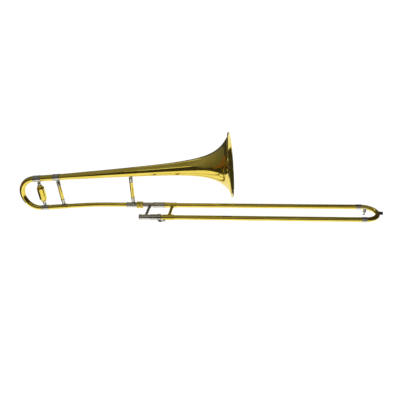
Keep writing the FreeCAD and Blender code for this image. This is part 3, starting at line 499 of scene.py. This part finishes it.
def dressed(node, slot, bevel):
    """A CAD node of flat faces with its edges rounded."""
    source = frame["nodes"][node].data
    work = bmesh.new()
    work.from_mesh(source)
    bmesh.ops.remove_doubles(work, verts=work.verts, dist=2e-6)
    bmesh.ops.dissolve_limit(
        work, angle_limit=math.radians(1.5), verts=work.verts, edges=work.edges, delimit=set()
    )
    sharp = [
        edge
        for edge in work.edges
        if len(edge.link_faces) == 2 and edge.calc_face_angle() > math.radians(28)
    ]
    bmesh.ops.bevel(
        work, geom=sharp, offset=bevel * MM, segments=3, profile=0.6, affect="EDGES", clamp_overlap=True
    )
    bmesh.ops.triangulate(work, faces=[f for f in work.faces if len(f.verts) > 4])
    work.verts.index_update()
    verts = [tuple(v.co) for v in work.verts]
    faces = [tuple(v.index for v in f.verts) for f in work.faces]
    work.free()
    return piece([node], slot, verts, faces, verts, [0.0] * len(verts))


# Turned parts: (axis, slot, corner size in mm, nodes).
TURNED = (
    (X_AXIS, "nickel_silver", 0.35, "mouthpiece_receiver bell_tenon bell_receiver"),
    (X_AXIS, "nickel_silver", 0.3, "mouthpiece_side_barrel bell_side_barrel"),
    (X_AXIS, "nickel_silver", 0.15, "mouthpiece_side_inner_tube bell_side_inner_tube"),
    (X_AXIS, "nickel_silver", 0.3, "mouthpiece_side_bow_ferrule bell_side_bow_ferrule"),
    (X_AXIS, "lacquered_brass", 0.12, "leadpipe mouthpiece_side_outer_tube bell_side_outer_tube"),
    (X_AXIS, "lacquered_brass", 0.3, "mouthpiece_side_handle_ferrule bell_side_handle_ferrule"),
    (X_AXIS, "cork", 0.3, "mouthpiece_side_cork bell_side_cork"),
    (X_AXIS, "rubber", 0.4, "rubber_bumper"),
    (Y_AXIS, "nickel_silver", 0.2, "inner_brace_rod"),
    (Y_AXIS, "lacquered_brass", 0.2, "slide_brace_rod"),
    (Z_AXIS, "lacquered_brass", 0.2, "front_brace_rod"),
    (Z_AXIS, "cork", 0.2, "water_key_cork"),
    (ALONG_BELL, "nickel_silver", 0.3, "bell_tail_ferrule lower_crook_ferrule upper_crook_ferrule"),
    (ALONG_BELL, "lacquered_brass", 0.25, "upper_tuning_sleeve lower_tuning_sleeve"),
    (ALONG_BELL, "nickel_silver", 0.15, "lower_tuning_leg upper_tuning_leg"),
    (UP_BELL, "lacquered_brass", 0.2, "rear_brace_rod"),
    (UP_BELL, "nickel_silver", 0.2, "tuning_brace_rod"),
    (UP_BELL, "lacquered_brass", 3.5, "counterweight"),
    (PIVOT_AXIS, "steel", 0.15, "water_key_pivot"),
)
for turn_axis, finish, corner, names in TURNED:
    for part in names.split():
        turned(part, turn_axis, finish, corner)

# The lock nut, whose two wide bands are knurled.
nut_crest = max(radius for _, radius in outline_of("bell_lock_nut", X_AXIS)[1])
NUT_TEETH, NUT_SEGMENTS, KNURL_DEPTH = 72, 432, 0.32 * MM
nut_knurl = (nut_crest - 0.25 * MM, NUT_TEETH, KNURL_DEPTH)
turned("bell_lock_nut", X_AXIS, "lacquered_brass", 0.35, NUT_SEGMENTS, nut_knurl)

# Brace feet: a socket on the rod whose flange wraps round the tube it is soldered to.
FOOT_WALL = 0.35
FLANGE_OVAL = 0.7


def foot_rings(rod, length, spread):
    """(radius, height above the tube, how far it wraps, wear and shade mark), from under the flange to the top of
    the socket, in mm; a mark below zero paints shade in a corner."""
    neck = rod + FOOT_WALL
    return (
        (0.0, -0.05, 1.0, 0.0),
        (neck, -0.05, 1.0, 0.0),
        (spread - 0.15, -0.05, 1.0, -0.5),
        (spread, 0.06, 1.0, -0.6),
        (spread, 0.26, 1.0, 0.3),
        (spread - 0.08, 0.38, 1.0, 0.6),
        (spread - 0.3, 0.45, 1.0, 0.2),
        (neck + 0.9, 0.5, 1.0, 0.0),
        (neck + 0.5, 0.58, 1.0, -0.5),
        (neck + 0.22, 0.76, 1.0, -0.7),
        (neck + 0.06, 1.1, 1.0, -0.4),
        (neck, 1.6, 0.97, 0.0),
        (neck, 3.0, 0.55, 0.0),
        (neck, 5.0, 0.0, 0.0),
        (neck, max(5.2, length - 2.4), 0.0, 0.0),
        (neck, length - 1.75, 0.0, -0.6),
        (neck + 0.1, length - 1.62, 0.0, -0.9),
        (neck + 0.4, length - 1.55, 0.0, 0.2),
        (neck + 0.55, length - 1.35, 0.0, 0.7),
        (neck + 0.58, length - 0.8, 0.0, 0.2),
        (neck + 0.55, length - 0.25, 0.0, 0.7),
        (neck + 0.37, length - 0.05, 0.0, 0.6),
        (neck + 0.15, length, 0.0, 0.2),
        (0.0, length, 0.0, 0.0),
    )


def foot_mesh(rings, tube_at, up, neck, segments=72):
    """Rings in mm on a tube. tube_at(u) gives the tube's axis point, side and outward directions and
    its radius, at a distance u along it from under the foot's own axis, which points along up. What is
    wider than the neck follows the tube round."""
    base, side, _, tube_radius = tube_at(0.0)
    ahead = unit(np.cross(up, side))
    verts, grain, wear_and_shade_marks = [], [], []
    for radius, height, wrap, wear_and_shade in rings:
        for k in range(segments):
            turn = 2 * math.pi * k / segments
            u, t = radius * MM * math.cos(turn), radius * MM * math.sin(turn)
            straight = base + up * (tube_radius + height * MM) + ahead * u + side * t
            point, across, out, r = tube_at(u)
            r += height * MM
            swing = math.asin(min(radius, neck) * MM * math.sin(turn) / r)
            swing += max(0.0, radius - neck) * MM * math.sin(turn) * FLANGE_OVAL / r
            wrapped = point + (across * math.sin(swing) + out * math.cos(swing)) * r
            verts.append(straight * (1 - wrap) + wrapped * wrap)
            grain.append((height * MM, u, t))
            wear_and_shade_marks.append(wear_and_shade)
    return verts, grid_faces(len(rings), segments, False), grain, wear_and_shade_marks


def straight_tube(node, axis, up, crossing):
    """tube_at for a foot on a turned tube, under a brace axis through the point crossing."""
    centre, _ = outline_of(node, axis)
    place = crossing @ axis
    radius = radius_at(node, axis, place)[1]
    side = unit(np.cross(up, axis))
    out = np.cross(axis, side)
    return lambda u: (centre + axis * (place + u), side, out, radius)


def foot(node, tube, axis, rod, up, slot, spread, tube_at=None):
    """A foot on a tube that holds the near end, along up, of a rod. Its flange is wider than the rod
    by the spread, in mm."""
    rod_centre, rod_outline = outline_of(rod, up)
    rod_end = min(along for along, _ in rod_outline)
    rod_radius = min(r for _, r in rod_outline if r > 1e-6)
    tube_at = tube_at or straight_tube(tube, axis, up, rod_centre)
    base, _, _, tube_radius = tube_at(0.0)
    length = (rod_end - base @ up - tube_radius) / MM
    rings = foot_rings(rod_radius / MM, length, rod_radius / MM + spread)
    return piece([node], slot, *foot_mesh(rings, tube_at, up, rod_radius / MM + FOOT_WALL))


foot("inner_brace_near_foot", "mouthpiece_receiver", X_AXIS, "inner_brace_rod", Y_AXIS, "nickel_silver", 3.0)
foot("inner_brace_far_foot", "bell_tenon", X_AXIS, "inner_brace_rod", -Y_AXIS, "nickel_silver", 3.0)
for end, up in (("near", Y_AXIS), ("far", -Y_AXIS)):
    tube = {"near": "mouthpiece_side_handle_ferrule", "far": "bell_side_handle_ferrule"}[end]
    foot(f"slide_brace_{end}_foot", tube, X_AXIS, "slide_brace_rod", up, "lacquered_brass", 3.0)
foot("front_brace_near_foot", "bell_receiver", X_AXIS, "front_brace_rod", Z_AXIS, "nickel_silver", 3.0)
for end, up in (("near", UP_BELL), ("far", -UP_BELL)):
    sleeve = {"near": "lower_tuning_sleeve", "far": "bell_tail_ferrule"}[end]
    foot(f"rear_brace_{end}_foot", sleeve, ALONG_BELL, "rear_brace_rod", up, "nickel_silver", 2.6)
    ferrule = {"near": "lower_crook_ferrule", "far": "upper_crook_ferrule"}[end]
    foot(f"tuning_brace_{end}_foot", ferrule, ALONG_BELL, "tuning_brace_rod", up, "nickel_silver", 1.8)

# The bell: a horn with a rolled rim, and the foot of the front brace on it. Sizes are in metres, and
# places are distances along the bell from BELL_START.
RIM_PLACE = 0.4701
BELL_TAIL_PLACE = -0.106
BELL_WALL = 0.0007
RIM_WIRE = 0.0021
BELL_START = NECK_CORNER + UP_BELL * LEG_SPACING
HORN_LENGTH = RIM_PLACE - BELL_TAIL_PLACE
TAIL_RADIUS = 0.0092
CONE_SLOPE = 0.0186
FLARE_RISE = 0.08108
FLARE_REACH = 0.115


def horn_radius(back):
    """The horn's outer radius at a distance back from its rim: a cone and a flare."""
    flare = FLARE_RISE * (FLARE_REACH / (back + FLARE_REACH)) ** 3
    return TAIL_RADIUS + CONE_SLOPE * (HORN_LENGTH - back) + flare


def horn_slope(back):
    return -CONE_SLOPE - 3 * FLARE_RISE / FLARE_REACH * (FLARE_REACH / (back + FLARE_REACH)) ** 4


def bell():
    """The horn's wall and its rolled rim, turned in one piece, with rows that close up to the rim."""
    rows, crowding, segments = 110, 2.1, 224
    backs = [HORN_LENGTH * (k / rows) ** crowding for k in range(rows, -1, -1)]
    wire_back, wire_radius = 0.0012, horn_radius(0.0) - 0.0011
    clear_of_wire = RIM_WIRE * 1.04
    outer, inner = [], []
    for back in backs:
        radius, slope = horn_radius(back), horn_slope(back)
        normal = unit((-slope, 1.0))
        outside = np.array((back, radius))
        inside = outside - normal * BELL_WALL
        if math.hypot(outside[0] - wire_back, outside[1] - wire_radius) > clear_of_wire:
            outer.append(outside)
        if math.hypot(inside[0] - wire_back, inside[1] - wire_radius) > clear_of_wire:
            inner.append(inside)
    wire = np.array((wire_back, wire_radius))
    towards_rim = unit((-1.0, -horn_slope(0.0)))
    outwards = np.array((towards_rim[1], -towards_rim[0]))
    start, stop = (
        math.atan2((end - wire) @ outwards, (end - wire) @ towards_rim) for end in (outer[-1], inner[-1])
    )
    # The bead goes the long way round the wire.
    start += 2 * math.pi
    bead = []
    steps = 30
    for k in range(steps + 1):
        turn = start + (stop - start) * k / steps
        spoke = towards_rim * math.cos(turn) + outwards * math.sin(turn)
        bead.append(wire + spoke * RIM_WIRE)
    outline = [*outer, *bead, *reversed(inner)]
    wear_and_shade = [0.0] * len(outline)
    # Painted shade in the corner where the rim's bead meets the horn's wall.
    wear_and_shade[len(outer) - 1] = wear_and_shade[len(outer)] = -0.7
    wear_and_shade[len(outer) + steps // 2] = 0.6
    along = [(RIM_PLACE - back, radius) for back, radius in outline]
    mesh = revolved(BELL_START, ALONG_BELL, along, wear_and_shade, segments)
    return piece(["bell", "bell_rim_wire"], "lacquered_brass", *mesh, weighted=False)


bell()


def on_the_bell(u):
    """tube_at for the front brace's upper foot, on the horn's cone."""
    place = bell_foot_place + u
    side = unit(np.cross(-Z_AXIS, ALONG_BELL))
    return (
        BELL_START + ALONG_BELL * place,
        side,
        np.cross(ALONG_BELL, side),
        horn_radius(RIM_PLACE - place),
    )


front_rod = outline_of("front_brace_rod", Z_AXIS)[0]
bell_foot_place = (front_rod[0] - BELL_START[0]) / ALONG_BELL[0]
foot("front_brace_far_foot", None, None, "front_brace_rod", -Z_AXIS, "nickel_silver", 3.0, on_the_bell)

# Bent tubes.

bow_low, bow_high = (np.array(corner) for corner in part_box("slide_bow"))
BOW_TUBE = (bow_high[2] - bow_low[2]) / 2
BOW_RADIUS = (bow_high[1] - bow_low[1]) / 2 - BOW_TUBE
BOW_CENTRE = np.array((bow_high[0] - BOW_TUBE - BOW_RADIUS, (bow_low[1] + bow_high[1]) / 2, 0.0))


def arc(centre, start, towards, radius, turn, steps):
    """Points from centre + start * radius, turning towards the second direction."""
    return [
        centre + (start * math.cos(turn * k / steps) + towards * math.sin(turn * k / steps)) * radius
        for k in range(steps + 1)
    ]


def lead(start, end, steps):
    """Points from the start towards the end, without the end itself."""
    return [start + (end - start) * k / steps for k in range(steps)]


def slide_bow():
    """The bow at the slide's far end."""
    wall = 0.55 * MM
    bend = arc(BOW_CENTRE, Y_AXIS, X_AXIS, BOW_RADIUS, math.pi, 96)
    first = np.array((bow_low[0], bend[0][1], 0.0))
    last = np.array((bow_low[0], bend[-1][1], 0.0))
    path = [*lead(first, bend[0], 4), *bend, *reversed(lead(last, bend[-1], 4))]
    mesh = swept(path, [BOW_TUBE] * len(path), wall, segments=80)
    return piece(["slide_bow"], "lacquered_brass", *mesh, weighted=False)


def tuning_crook():
    """The tuning bow, whose tube widens from the lower leg to the upper one."""
    half = LEG_SPACING / 2
    ferrule_from = min(along for along, _ in outline_of("lower_crook_ferrule", ALONG_BELL)[1])
    centre = NECK_CORNER + ALONG_BELL * (ferrule_from - NECK_CORNER @ ALONG_BELL) + UP_BELL * half
    bend = arc(centre, -UP_BELL, -ALONG_BELL, half, math.pi, 112)
    into_ferrule, wall = 0.0124, 0.6 * MM
    reach = ALONG_BELL * into_ferrule
    ends = 5
    path = [*lead(bend[0] + reach, bend[0], ends), *bend, *reversed(lead(bend[-1] + reach, bend[-1], ends))]
    narrow, wide = 7.5, 10.0
    radii = []
    for k in range(len(path)):
        share = min(1.0, max(0.0, (k - ends) / (len(path) - 2 * ends - 1)))
        radii.append((narrow + (wide - narrow) * share) * MM)
    mesh = swept(path, radii, wall, segments=88)
    return piece(["tuning_crook"], "lacquered_brass", *mesh, weighted=False)


def neckpipe():
    """The pipe from the bell receiver to the tuning slide, bent a little where the bell section tilts."""
    tangent, in_receiver, in_sleeve = 0.06, -0.0432, 0.11
    radius, wall = 7.3 * MM, 0.5 * MM
    start = np.array((in_receiver, BELL_SIDE, 0.0))
    bend_from = NECK_CORNER + X_AXIS * tangent
    angle = math.acos(float(ALONG_BELL @ X_AXIS))
    bend_radius = tangent / math.tan(angle / 2)
    bend = arc(bend_from - Z_AXIS * bend_radius, Z_AXIS, -X_AXIS, bend_radius, angle, 24)
    end = NECK_CORNER - ALONG_BELL * in_sleeve
    path = [*lead(start, bend[0], 12), *bend, *reversed(lead(end, bend[-1], 10))]
    mesh = swept(path, [radius] * len(path), wall, segments=80)
    return piece(["neckpipe"], "lacquered_brass", *mesh, weighted=False)


slide_bow()
tuning_crook()
neckpipe()

# On the slide bow: the bumper's socket and the water key.


BUMPER_STEM = 5.3
NIPPLE_NECK = 3.1


def on_the_bow(place, out):
    """tube_at for a foot on the bow, at an angle round it, whose outward direction is radial or down."""

    def tube_at(u):
        turn = place + u / BOW_RADIUS
        radial = np.array((math.cos(turn), math.sin(turn), 0.0))
        point = BOW_CENTRE + radial * BOW_RADIUS
        if out == "radial":
            return point, -Z_AXIS, radial, BOW_TUBE
        return point, radial, -Z_AXIS, BOW_TUBE

    return tube_at


def bumper_socket():
    """A flared cup round the rubber foot's stem."""
    # The last number of each ring marks wear; below zero it paints shade in a corner.
    rings = (
        (0.0, -0.05, 1.0, 0.0),
        (6.6, -0.05, 1.0, -0.5),
        (6.9, 0.1, 1.0, -0.4),
        (6.9, 0.3, 1.0, 0.4),
        (6.6, 0.5, 0.9, 0.2),
        (5.9, 0.7, 0.4, 0.0),
        (5.5, 1.0, 0.1, 0.0),
        (5.35, 1.5, 0.0, 0.0),
        (5.3, 1.95, 0.0, 0.6),
        (5.2, 2.15, 0.0, 0.7),
        (5.0, 2.2, 0.0, 0.2),
        (3.4, 2.2, 0.0, 0.0),
        (3.32, 2.1, 0.0, 0.0),
        (3.32, 0.35, 0.0, -0.5),
        (0.0, 0.35, 0.0, 0.0),
    )
    mesh = foot_mesh(rings, on_the_bow(0.0, "radial"), X_AXIS, BUMPER_STEM)
    return piece(["bumper_socket"], "nickel_silver", *mesh)


KEY_PLACE = math.pi / 2 - KEY_ANGLE
key_radial = np.array((math.cos(KEY_PLACE), math.sin(KEY_PLACE), 0.0))
KEY_POINT = BOW_CENTRE + key_radial * BOW_RADIUS
PIVOT_INWARD, PIVOT_UP = 9.0, -11.4


def in_key_frame(inward, along, up):
    """A point in mm in the water key's own frame: towards the bow's middle, along the bow, and up."""
    return KEY_POINT + (-key_radial * inward - PIVOT_AXIS * along + Z_AXIS * up) * MM


def water_key_nipple():
    """The short spout under the bow, with its bore."""
    # The last number of each ring marks wear; below zero it paints shade in a corner.
    rings = (
        (2.02, 0.0, 1.0, 0.0),
        (4.3, -0.05, 1.0, -0.6),
        (4.45, 0.1, 1.0, -0.3),
        (4.4, 0.28, 1.0, 0.4),
        (3.9, 0.5, 0.9, 0.0),
        (3.35, 0.9, 0.6, -0.4),
        (3.12, 1.5, 0.2, 0.0),
        (3.1, 2.2, 0.0, 0.0),
        (3.1, 4.15, 0.0, 0.4),
        (3.02, 4.38, 0.0, 0.7),
        (2.8, 4.5, 0.0, 0.6),
        (2.15, 4.5, 0.0, 0.3),
        (2.02, 4.36, 0.0, 0.0),
        (2.0, 0.6, 0.0, 0.0),
        (2.02, 0.0, 1.0, 0.0),
    )
    mesh = foot_mesh(rings, on_the_bow(KEY_PLACE, "down"), -Z_AXIS, NIPPLE_NECK)
    return piece(["water_key_nipple"], "nickel_silver", *mesh)


def small_turning(centre, axis, outline, corner, segments):
    """The surface of a small turned shape, from its outline and corner size in mm."""
    soft, wear_and_shade = softened(outline, corner)
    return revolved(centre, axis, [(a * MM, r * MM) for a, r in soft], wear_and_shade, segments)


def smooth_route(route, widths, steps=6):
    """A smooth curve through (inward, up) points of the key frame, and its half widths."""
    curve, sizes = [], []
    last = len(route) - 1
    for k in range(last):
        for t in np.linspace(0, 1, steps, endpoint=k == last - 1):
            before, a, b, after = (np.array(route[min(max(k + j, 0), last)]) for j in (-1, 0, 1, 2))
            bend = (2 * before - 5 * a + 4 * b - after) * t**2
            spot = 0.5 * (2 * a + (b - before) * t + bend + (3 * (a - b) + after - before) * t**3)
            curve.append(in_key_frame(spot[0], 0.0, spot[1]))
            sizes.append((widths[k] + (widths[k + 1] - widths[k]) * t) * MM)
    return curve, sizes


def water_key_lever():
    """The key: the cork's cup, a waisted arm with a hub on the pivot, and the finger's touch."""
    route = (
        (1.2, -14.75),
        (3.4, -14.6),
        (5.4, -14.1),
        (7.3, -13.5),
        (9.1, -13.3),
        (10.9, -13.9),
        (12.6, -15.5),
        (14.2, -17.6),
    )
    widths = (2.1, 1.85, 1.68, 1.6, 1.58, 1.58, 1.62, 1.8)
    thickness = 0.62
    arm = swept(*smooth_route(route, widths), segments=28, flat=(Z_AXIS, thickness))
    hub_outline = ((-1.75, 1.18), (1.75, 1.18), (1.75, 2.15), (-1.75, 2.15))
    hub = small_turning(in_key_frame(PIVOT_INWARD, 0.0, PIVOT_UP), PIVOT_AXIS, hub_outline, 0.3, 48)
    cup_outline = (
        (-15.9, 0.0),
        (-15.9, 2.6),
        (-15.2, 4.0),
        (-14.2, 4.3),
        (-12.9, 4.3),
        (-12.9, 3.75),
        (-13.6, 3.7),
        (-13.6, 0.0),
    )
    cup = small_turning(KEY_POINT, Z_AXIS, cup_outline, 0.3, 64)
    touch_outline = (
        (-0.95, 0.0),
        (-0.95, 1.9),
        (-0.4, 2.8),
        (0.25, 3.0),
        (0.75, 2.5),
        (1.0, 1.4),
        (1.05, 0.0),
    )
    touch_axis = -unit(Z_AXIS * 0.9 - key_radial * 0.25)
    touch = small_turning(in_key_frame(14.4, 0.0, -18.0), touch_axis, touch_outline, 0.35, 56)
    return piece(["water_key_lever"], "nickel_silver", *joined([arm, hub, cup, touch]))


def water_key_spring():
    """A wound spring round the pivot, with one leg under the arm."""
    coil, wire = 1.75, 0.22
    turns, steps = 3.25, 130
    first_turn, coil_from, coil_length = 0.9, 2.02, 1.0
    points = [in_key_frame(12.4, -1.9, -13.9), in_key_frame(11.6, -1.95, -13.3)]
    for k in range(steps + 1):
        turn = 2 * math.pi * turns * k / steps - first_turn
        inward, up = PIVOT_INWARD + coil * math.cos(turn), PIVOT_UP + coil * math.sin(turn)
        points.append(in_key_frame(inward, -(coil_from + coil_length * k / steps), up))
    mesh = swept(points, [wire * MM] * len(points), segments=12)
    return piece(["water_key_spring"], "steel", *mesh, weighted=False)


def plate(outline, near, far, rounding=0.28):
    """A flat plate in the key frame from (inward, up) points in mm, between two distances along the bow."""
    work = bmesh.new()
    sides = [[work.verts.new(in_key_frame(x, along, z)) for x, z in outline] for along in (near, far)]
    work.faces.new(sides[0])
    work.faces.new(reversed(sides[1]))
    count = len(outline)
    for k in range(count):
        work.faces.new([sides[0][k], sides[1][k], sides[1][(k + 1) % count], sides[0][(k + 1) % count]])
    bmesh.ops.recalc_face_normals(work, faces=work.faces)
    rims = [edge for edge in work.edges if edge.calc_face_angle() > math.radians(40)]
    bmesh.ops.bevel(work, geom=rims, offset=rounding * MM, segments=3, profile=0.5, affect="EDGES")
    work.verts.index_update()
    verts = [tuple(v.co) for v in work.verts]
    faces = [tuple(v.index for v in face.verts) for face in work.faces]
    work.free()
    return verts, faces, verts, [0.0] * len(verts)


def bracket_saddle():
    """The saddle: a thin plate that wraps the bow's inner side, thinning to its edge."""
    columns, rows, thick, border = 28, 24, 0.7, 0.7
    length, top_angle, spread = 11.2, math.radians(16.0), math.radians(88.0)
    wrap = spread * BOW_TUBE / MM
    sheets = ([], [])
    for row in range(rows + 1):
        angle = top_angle - spread * row / rows
        for column in range(columns + 1):
            along = length * (column / columns - 0.5)
            turn = KEY_PLACE - along * MM / BOW_RADIUS
            radial = np.array((math.cos(turn), math.sin(turn), 0.0))
            out = -radial * math.cos(angle) + Z_AXIS * math.sin(angle)
            middle = BOW_CENTRE + radial * BOW_RADIUS
            from_end = min(column, columns - column) * length / columns
            from_side = min(row, rows - row) * wrap / rows
            edge = min(1.0, min(from_end, from_side) / border)
            rise = thick * math.sqrt(max(0.0, 1 - (1 - edge) ** 2))
            sheets[0].append(middle + out * (BOW_TUBE + rise * MM))
            sheets[1].append(middle + out * (BOW_TUBE - 0.02 * MM))
    width = columns + 1
    count = width * (rows + 1)
    faces = []
    for row in range(rows):
        for column in range(columns):
            a = row * width + column
            face = (a, a + 1, a + 1 + width, a + width)
            faces += [face, tuple(reversed([i + count for i in face]))]
    rim = [*range(width), *(width * row + columns for row in range(1, rows + 1))]
    rim += [width * rows + column for column in range(columns - 1, -1, -1)]
    rim += [width * row for row in range(rows - 1, 0, -1)]
    for a, b in zip(rim, rim[1:] + rim[:1]):
        faces.append((a, a + count, b + count, b))
    verts = sheets[0] + sheets[1]
    return verts, faces, verts, [0.0] * len(verts)


def water_key_bracket():
    """The saddle and its two ears, rounded about the pivot."""
    ear_radius, ear_thickness = 2.1, 1.2
    ear = [(7.25, -0.6), (9.3, -4.2), (10.7, -8.4)]
    ear += [
        (PIVOT_INWARD + ear_radius * math.cos(t), PIVOT_UP + ear_radius * math.sin(t))
        for t in np.linspace(0.25, -math.pi - 0.1, 14)
    ]
    ear += [(5.9, -9.0), (4.3, -5.8)]
    ears = [plate(ear, near, near + ear_thickness) for near in (-4.5, 3.3)]
    return piece(["water_key_bracket"], "nickel_silver", *joined([bracket_saddle(), *ears]))


bumper_socket()
water_key_nipple()
water_key_lever()
water_key_spring()
water_key_bracket()
dressed("slide_lock_ring", "nickel_silver", 0.35)
dressed("slide_lock_lug", "nickel_silver", 0.25)

# The floor, the room and the sky. The room's panels show only in reflections.
FLOOR_HEIGHT, CEILING_HEIGHT = -0.62, 2.1
ROOM_LEFT, ROOM_RIGHT = -1.15, 1.75
ROOM_FRONT, ROOM_BACK = -1.9, 2.8
OFF_WHITE = (1.0, 0.98, 0.94)


def glow(name, colour, strength, albedo=0.02):
    """A matt surface that also gives light."""
    material, _, shader = node_tree(name)
    shader.inputs["Base Color"].default_value = (*(albedo * channel for channel in colour), 1.0)
    shader.inputs["Roughness"].default_value = 0.9
    shader.inputs["Emission Color"].default_value = (*colour, 1.0)
    shader.inputs["Emission Strength"].default_value = strength
    return material


def graded(name, colour):
    """A glowing surface that fades towards the bow's end of the room and brightens upwards."""
    material = glow(name, colour, 0.0)
    tree = material.node_tree
    split = tree.nodes.new("ShaderNodeSeparateXYZ")
    tree.links.new(tree.nodes.new("ShaderNodeNewGeometry").outputs["Position"], split.inputs[0])
    across = ranged(tree, split.outputs["X"], (ROOM_LEFT, 1.1), (0.19, 0.015))
    upwards = ranged(tree, split.outputs["Z"], (0.3, CEILING_HEIGHT), (0.5, 1.1))
    strength = maths(tree, "MULTIPLY", across, upwards)
    tree.links.new(strength, tree.nodes["Principled BSDF"].inputs["Emission Strength"])
    return material


def panel(name, centre, half_across, half_up, material, seen=False):
    """A flat panel spanned by two half-size vectors, seen by the camera or only in reflections."""
    centre, a, b = (np.array(v, float) for v in (centre, half_across, half_up))
    corners = [tuple(centre + s * a + t * b) for s, t in ((-1, -1), (1, -1), (1, 1), (-1, 1))]
    mesh = bpy.data.meshes.new(name)
    mesh.from_pydata(corners, [], [(0, 1, 2, 3)])
    mesh.materials.append(material)
    shown = bpy.data.objects.new(name, mesh)
    bpy.context.scene.collection.objects.link(shown)
    if not seen:
        shown.visible_camera = shown.visible_diffuse = shown.visible_shadow = False
        shown.visible_transmission = shown.visible_volume_scatter = False


def studio():
    """A white floor, walls that are dark below and grey above, two softboxes and a warm panel."""
    pale = glow("pale_floor", (1.0, 1.0, 0.99), 0.16, 0.92)
    dark = glow("dark_wall", (1.0, 0.9, 0.75), 0.012)
    dim = glow("dim_wall", (1.0, 0.92, 0.8), 0.035)
    soft = glow("softbox", OFF_WHITE, 1.1)
    warm = glow("warm_panel", (1.0, 0.45, 0.18), 0.15)
    grey = graded("grey_wall", OFF_WHITE)
    panel("floor", (0.25, 0.0, FLOOR_HEIGHT), (60, 0, 0), (0, 60, 0), pale, seen=True)
    middle_x, half_x = (ROOM_LEFT + ROOM_RIGHT) / 2, (ROOM_RIGHT - ROOM_LEFT) / 2
    middle_y, half_y = (ROOM_FRONT + ROOM_BACK) / 2, (ROOM_BACK - ROOM_FRONT) / 2
    for name, centre, across, split, low_material in (
        ("front", (middle_x, ROOM_FRONT), (half_x, 0, 0), 1.6, dark),
        ("back", (middle_x, ROOM_BACK), (half_x, 0, 0), 1.5, dim),
        ("left", (ROOM_LEFT, middle_y), (0, half_y, 0), 0.2, dark),
        ("right", (ROOM_RIGHT, middle_y), (0, half_y, 0), 0.25, dark),
    ):
        for part, low, high, material in (
            ("low", FLOOR_HEIGHT, split, low_material),
            ("high", split, CEILING_HEIGHT, grey),
        ):
            half = (high - low) / 2
            panel(f"{name}_{part}_wall", (*centre, low + half), across, (0, 0, half), material)
    panel("ceiling", (middle_x, middle_y, CEILING_HEIGHT), (half_x, 0, 0), (0, half_y, 0), grey)
    panel("front_softbox", (0.3, ROOM_FRONT + 0.03, 1.84), (1.4, 0, 0), (0, 0, 0.24), soft)
    panel("back_softbox", (0.2, 2.3, CEILING_HEIGHT - 0.02), (1.3, 0, 0), (0, 0.3, 0), soft)
    panel("warm_panel", (ROOM_LEFT + 0.01, 0.1, 0.06), (0, 0.9, 0), (0, 0, 0.13), warm)


def sky():
    """White all round: it lights the floor and what is matt, and shows past the floor's edge."""
    world = bpy.data.worlds.new("studio_sky")
    bpy.context.scene.world = world
    world.use_nodes = True
    world.node_tree.nodes["Background"].inputs["Color"].default_value = (1.0, 1.0, 1.0, 1.0)


CAMERA_PLACE = (0.3468, -1.2506, 0.6815)
CAMERA_TURN = (-6.89, 26.21, -2.59)
CAMERA_LENS = 41.36


def camera():
    """The viewpoint: a turn to the left, a look down and a lean, in degrees."""
    yaw, pitch, roll = (math.radians(angle) for angle in CAMERA_TURN)
    forward = np.array((math.sin(yaw) * math.cos(pitch), math.cos(yaw) * math.cos(pitch), -math.sin(pitch)))
    level = np.array((math.cos(yaw), -math.sin(yaw), 0.0))
    upright = np.cross(level, forward)
    right = math.cos(roll) * level + math.sin(roll) * upright
    up = -math.sin(roll) * level + math.cos(roll) * upright
    data = bpy.data.cameras.new("camera")
    data.sensor_width = 36.0
    data.lens = CAMERA_LENS
    data.clip_start, data.clip_end = 0.01, 200.0
    shown = bpy.data.objects.new("camera", data)
    bpy.context.scene.collection.objects.link(shown)
    columns = (right, up, -forward)
    turn = Matrix([[float(column[row]) for column in columns] for row in range(3)]).to_4x4()
    shown.matrix_world = Matrix.Translation(Vector(CAMERA_PLACE)) @ turn
    bpy.context.scene.camera = shown


studio()
sky()
camera()
bpy.context.scene.view_settings.view_transform = "Standard"
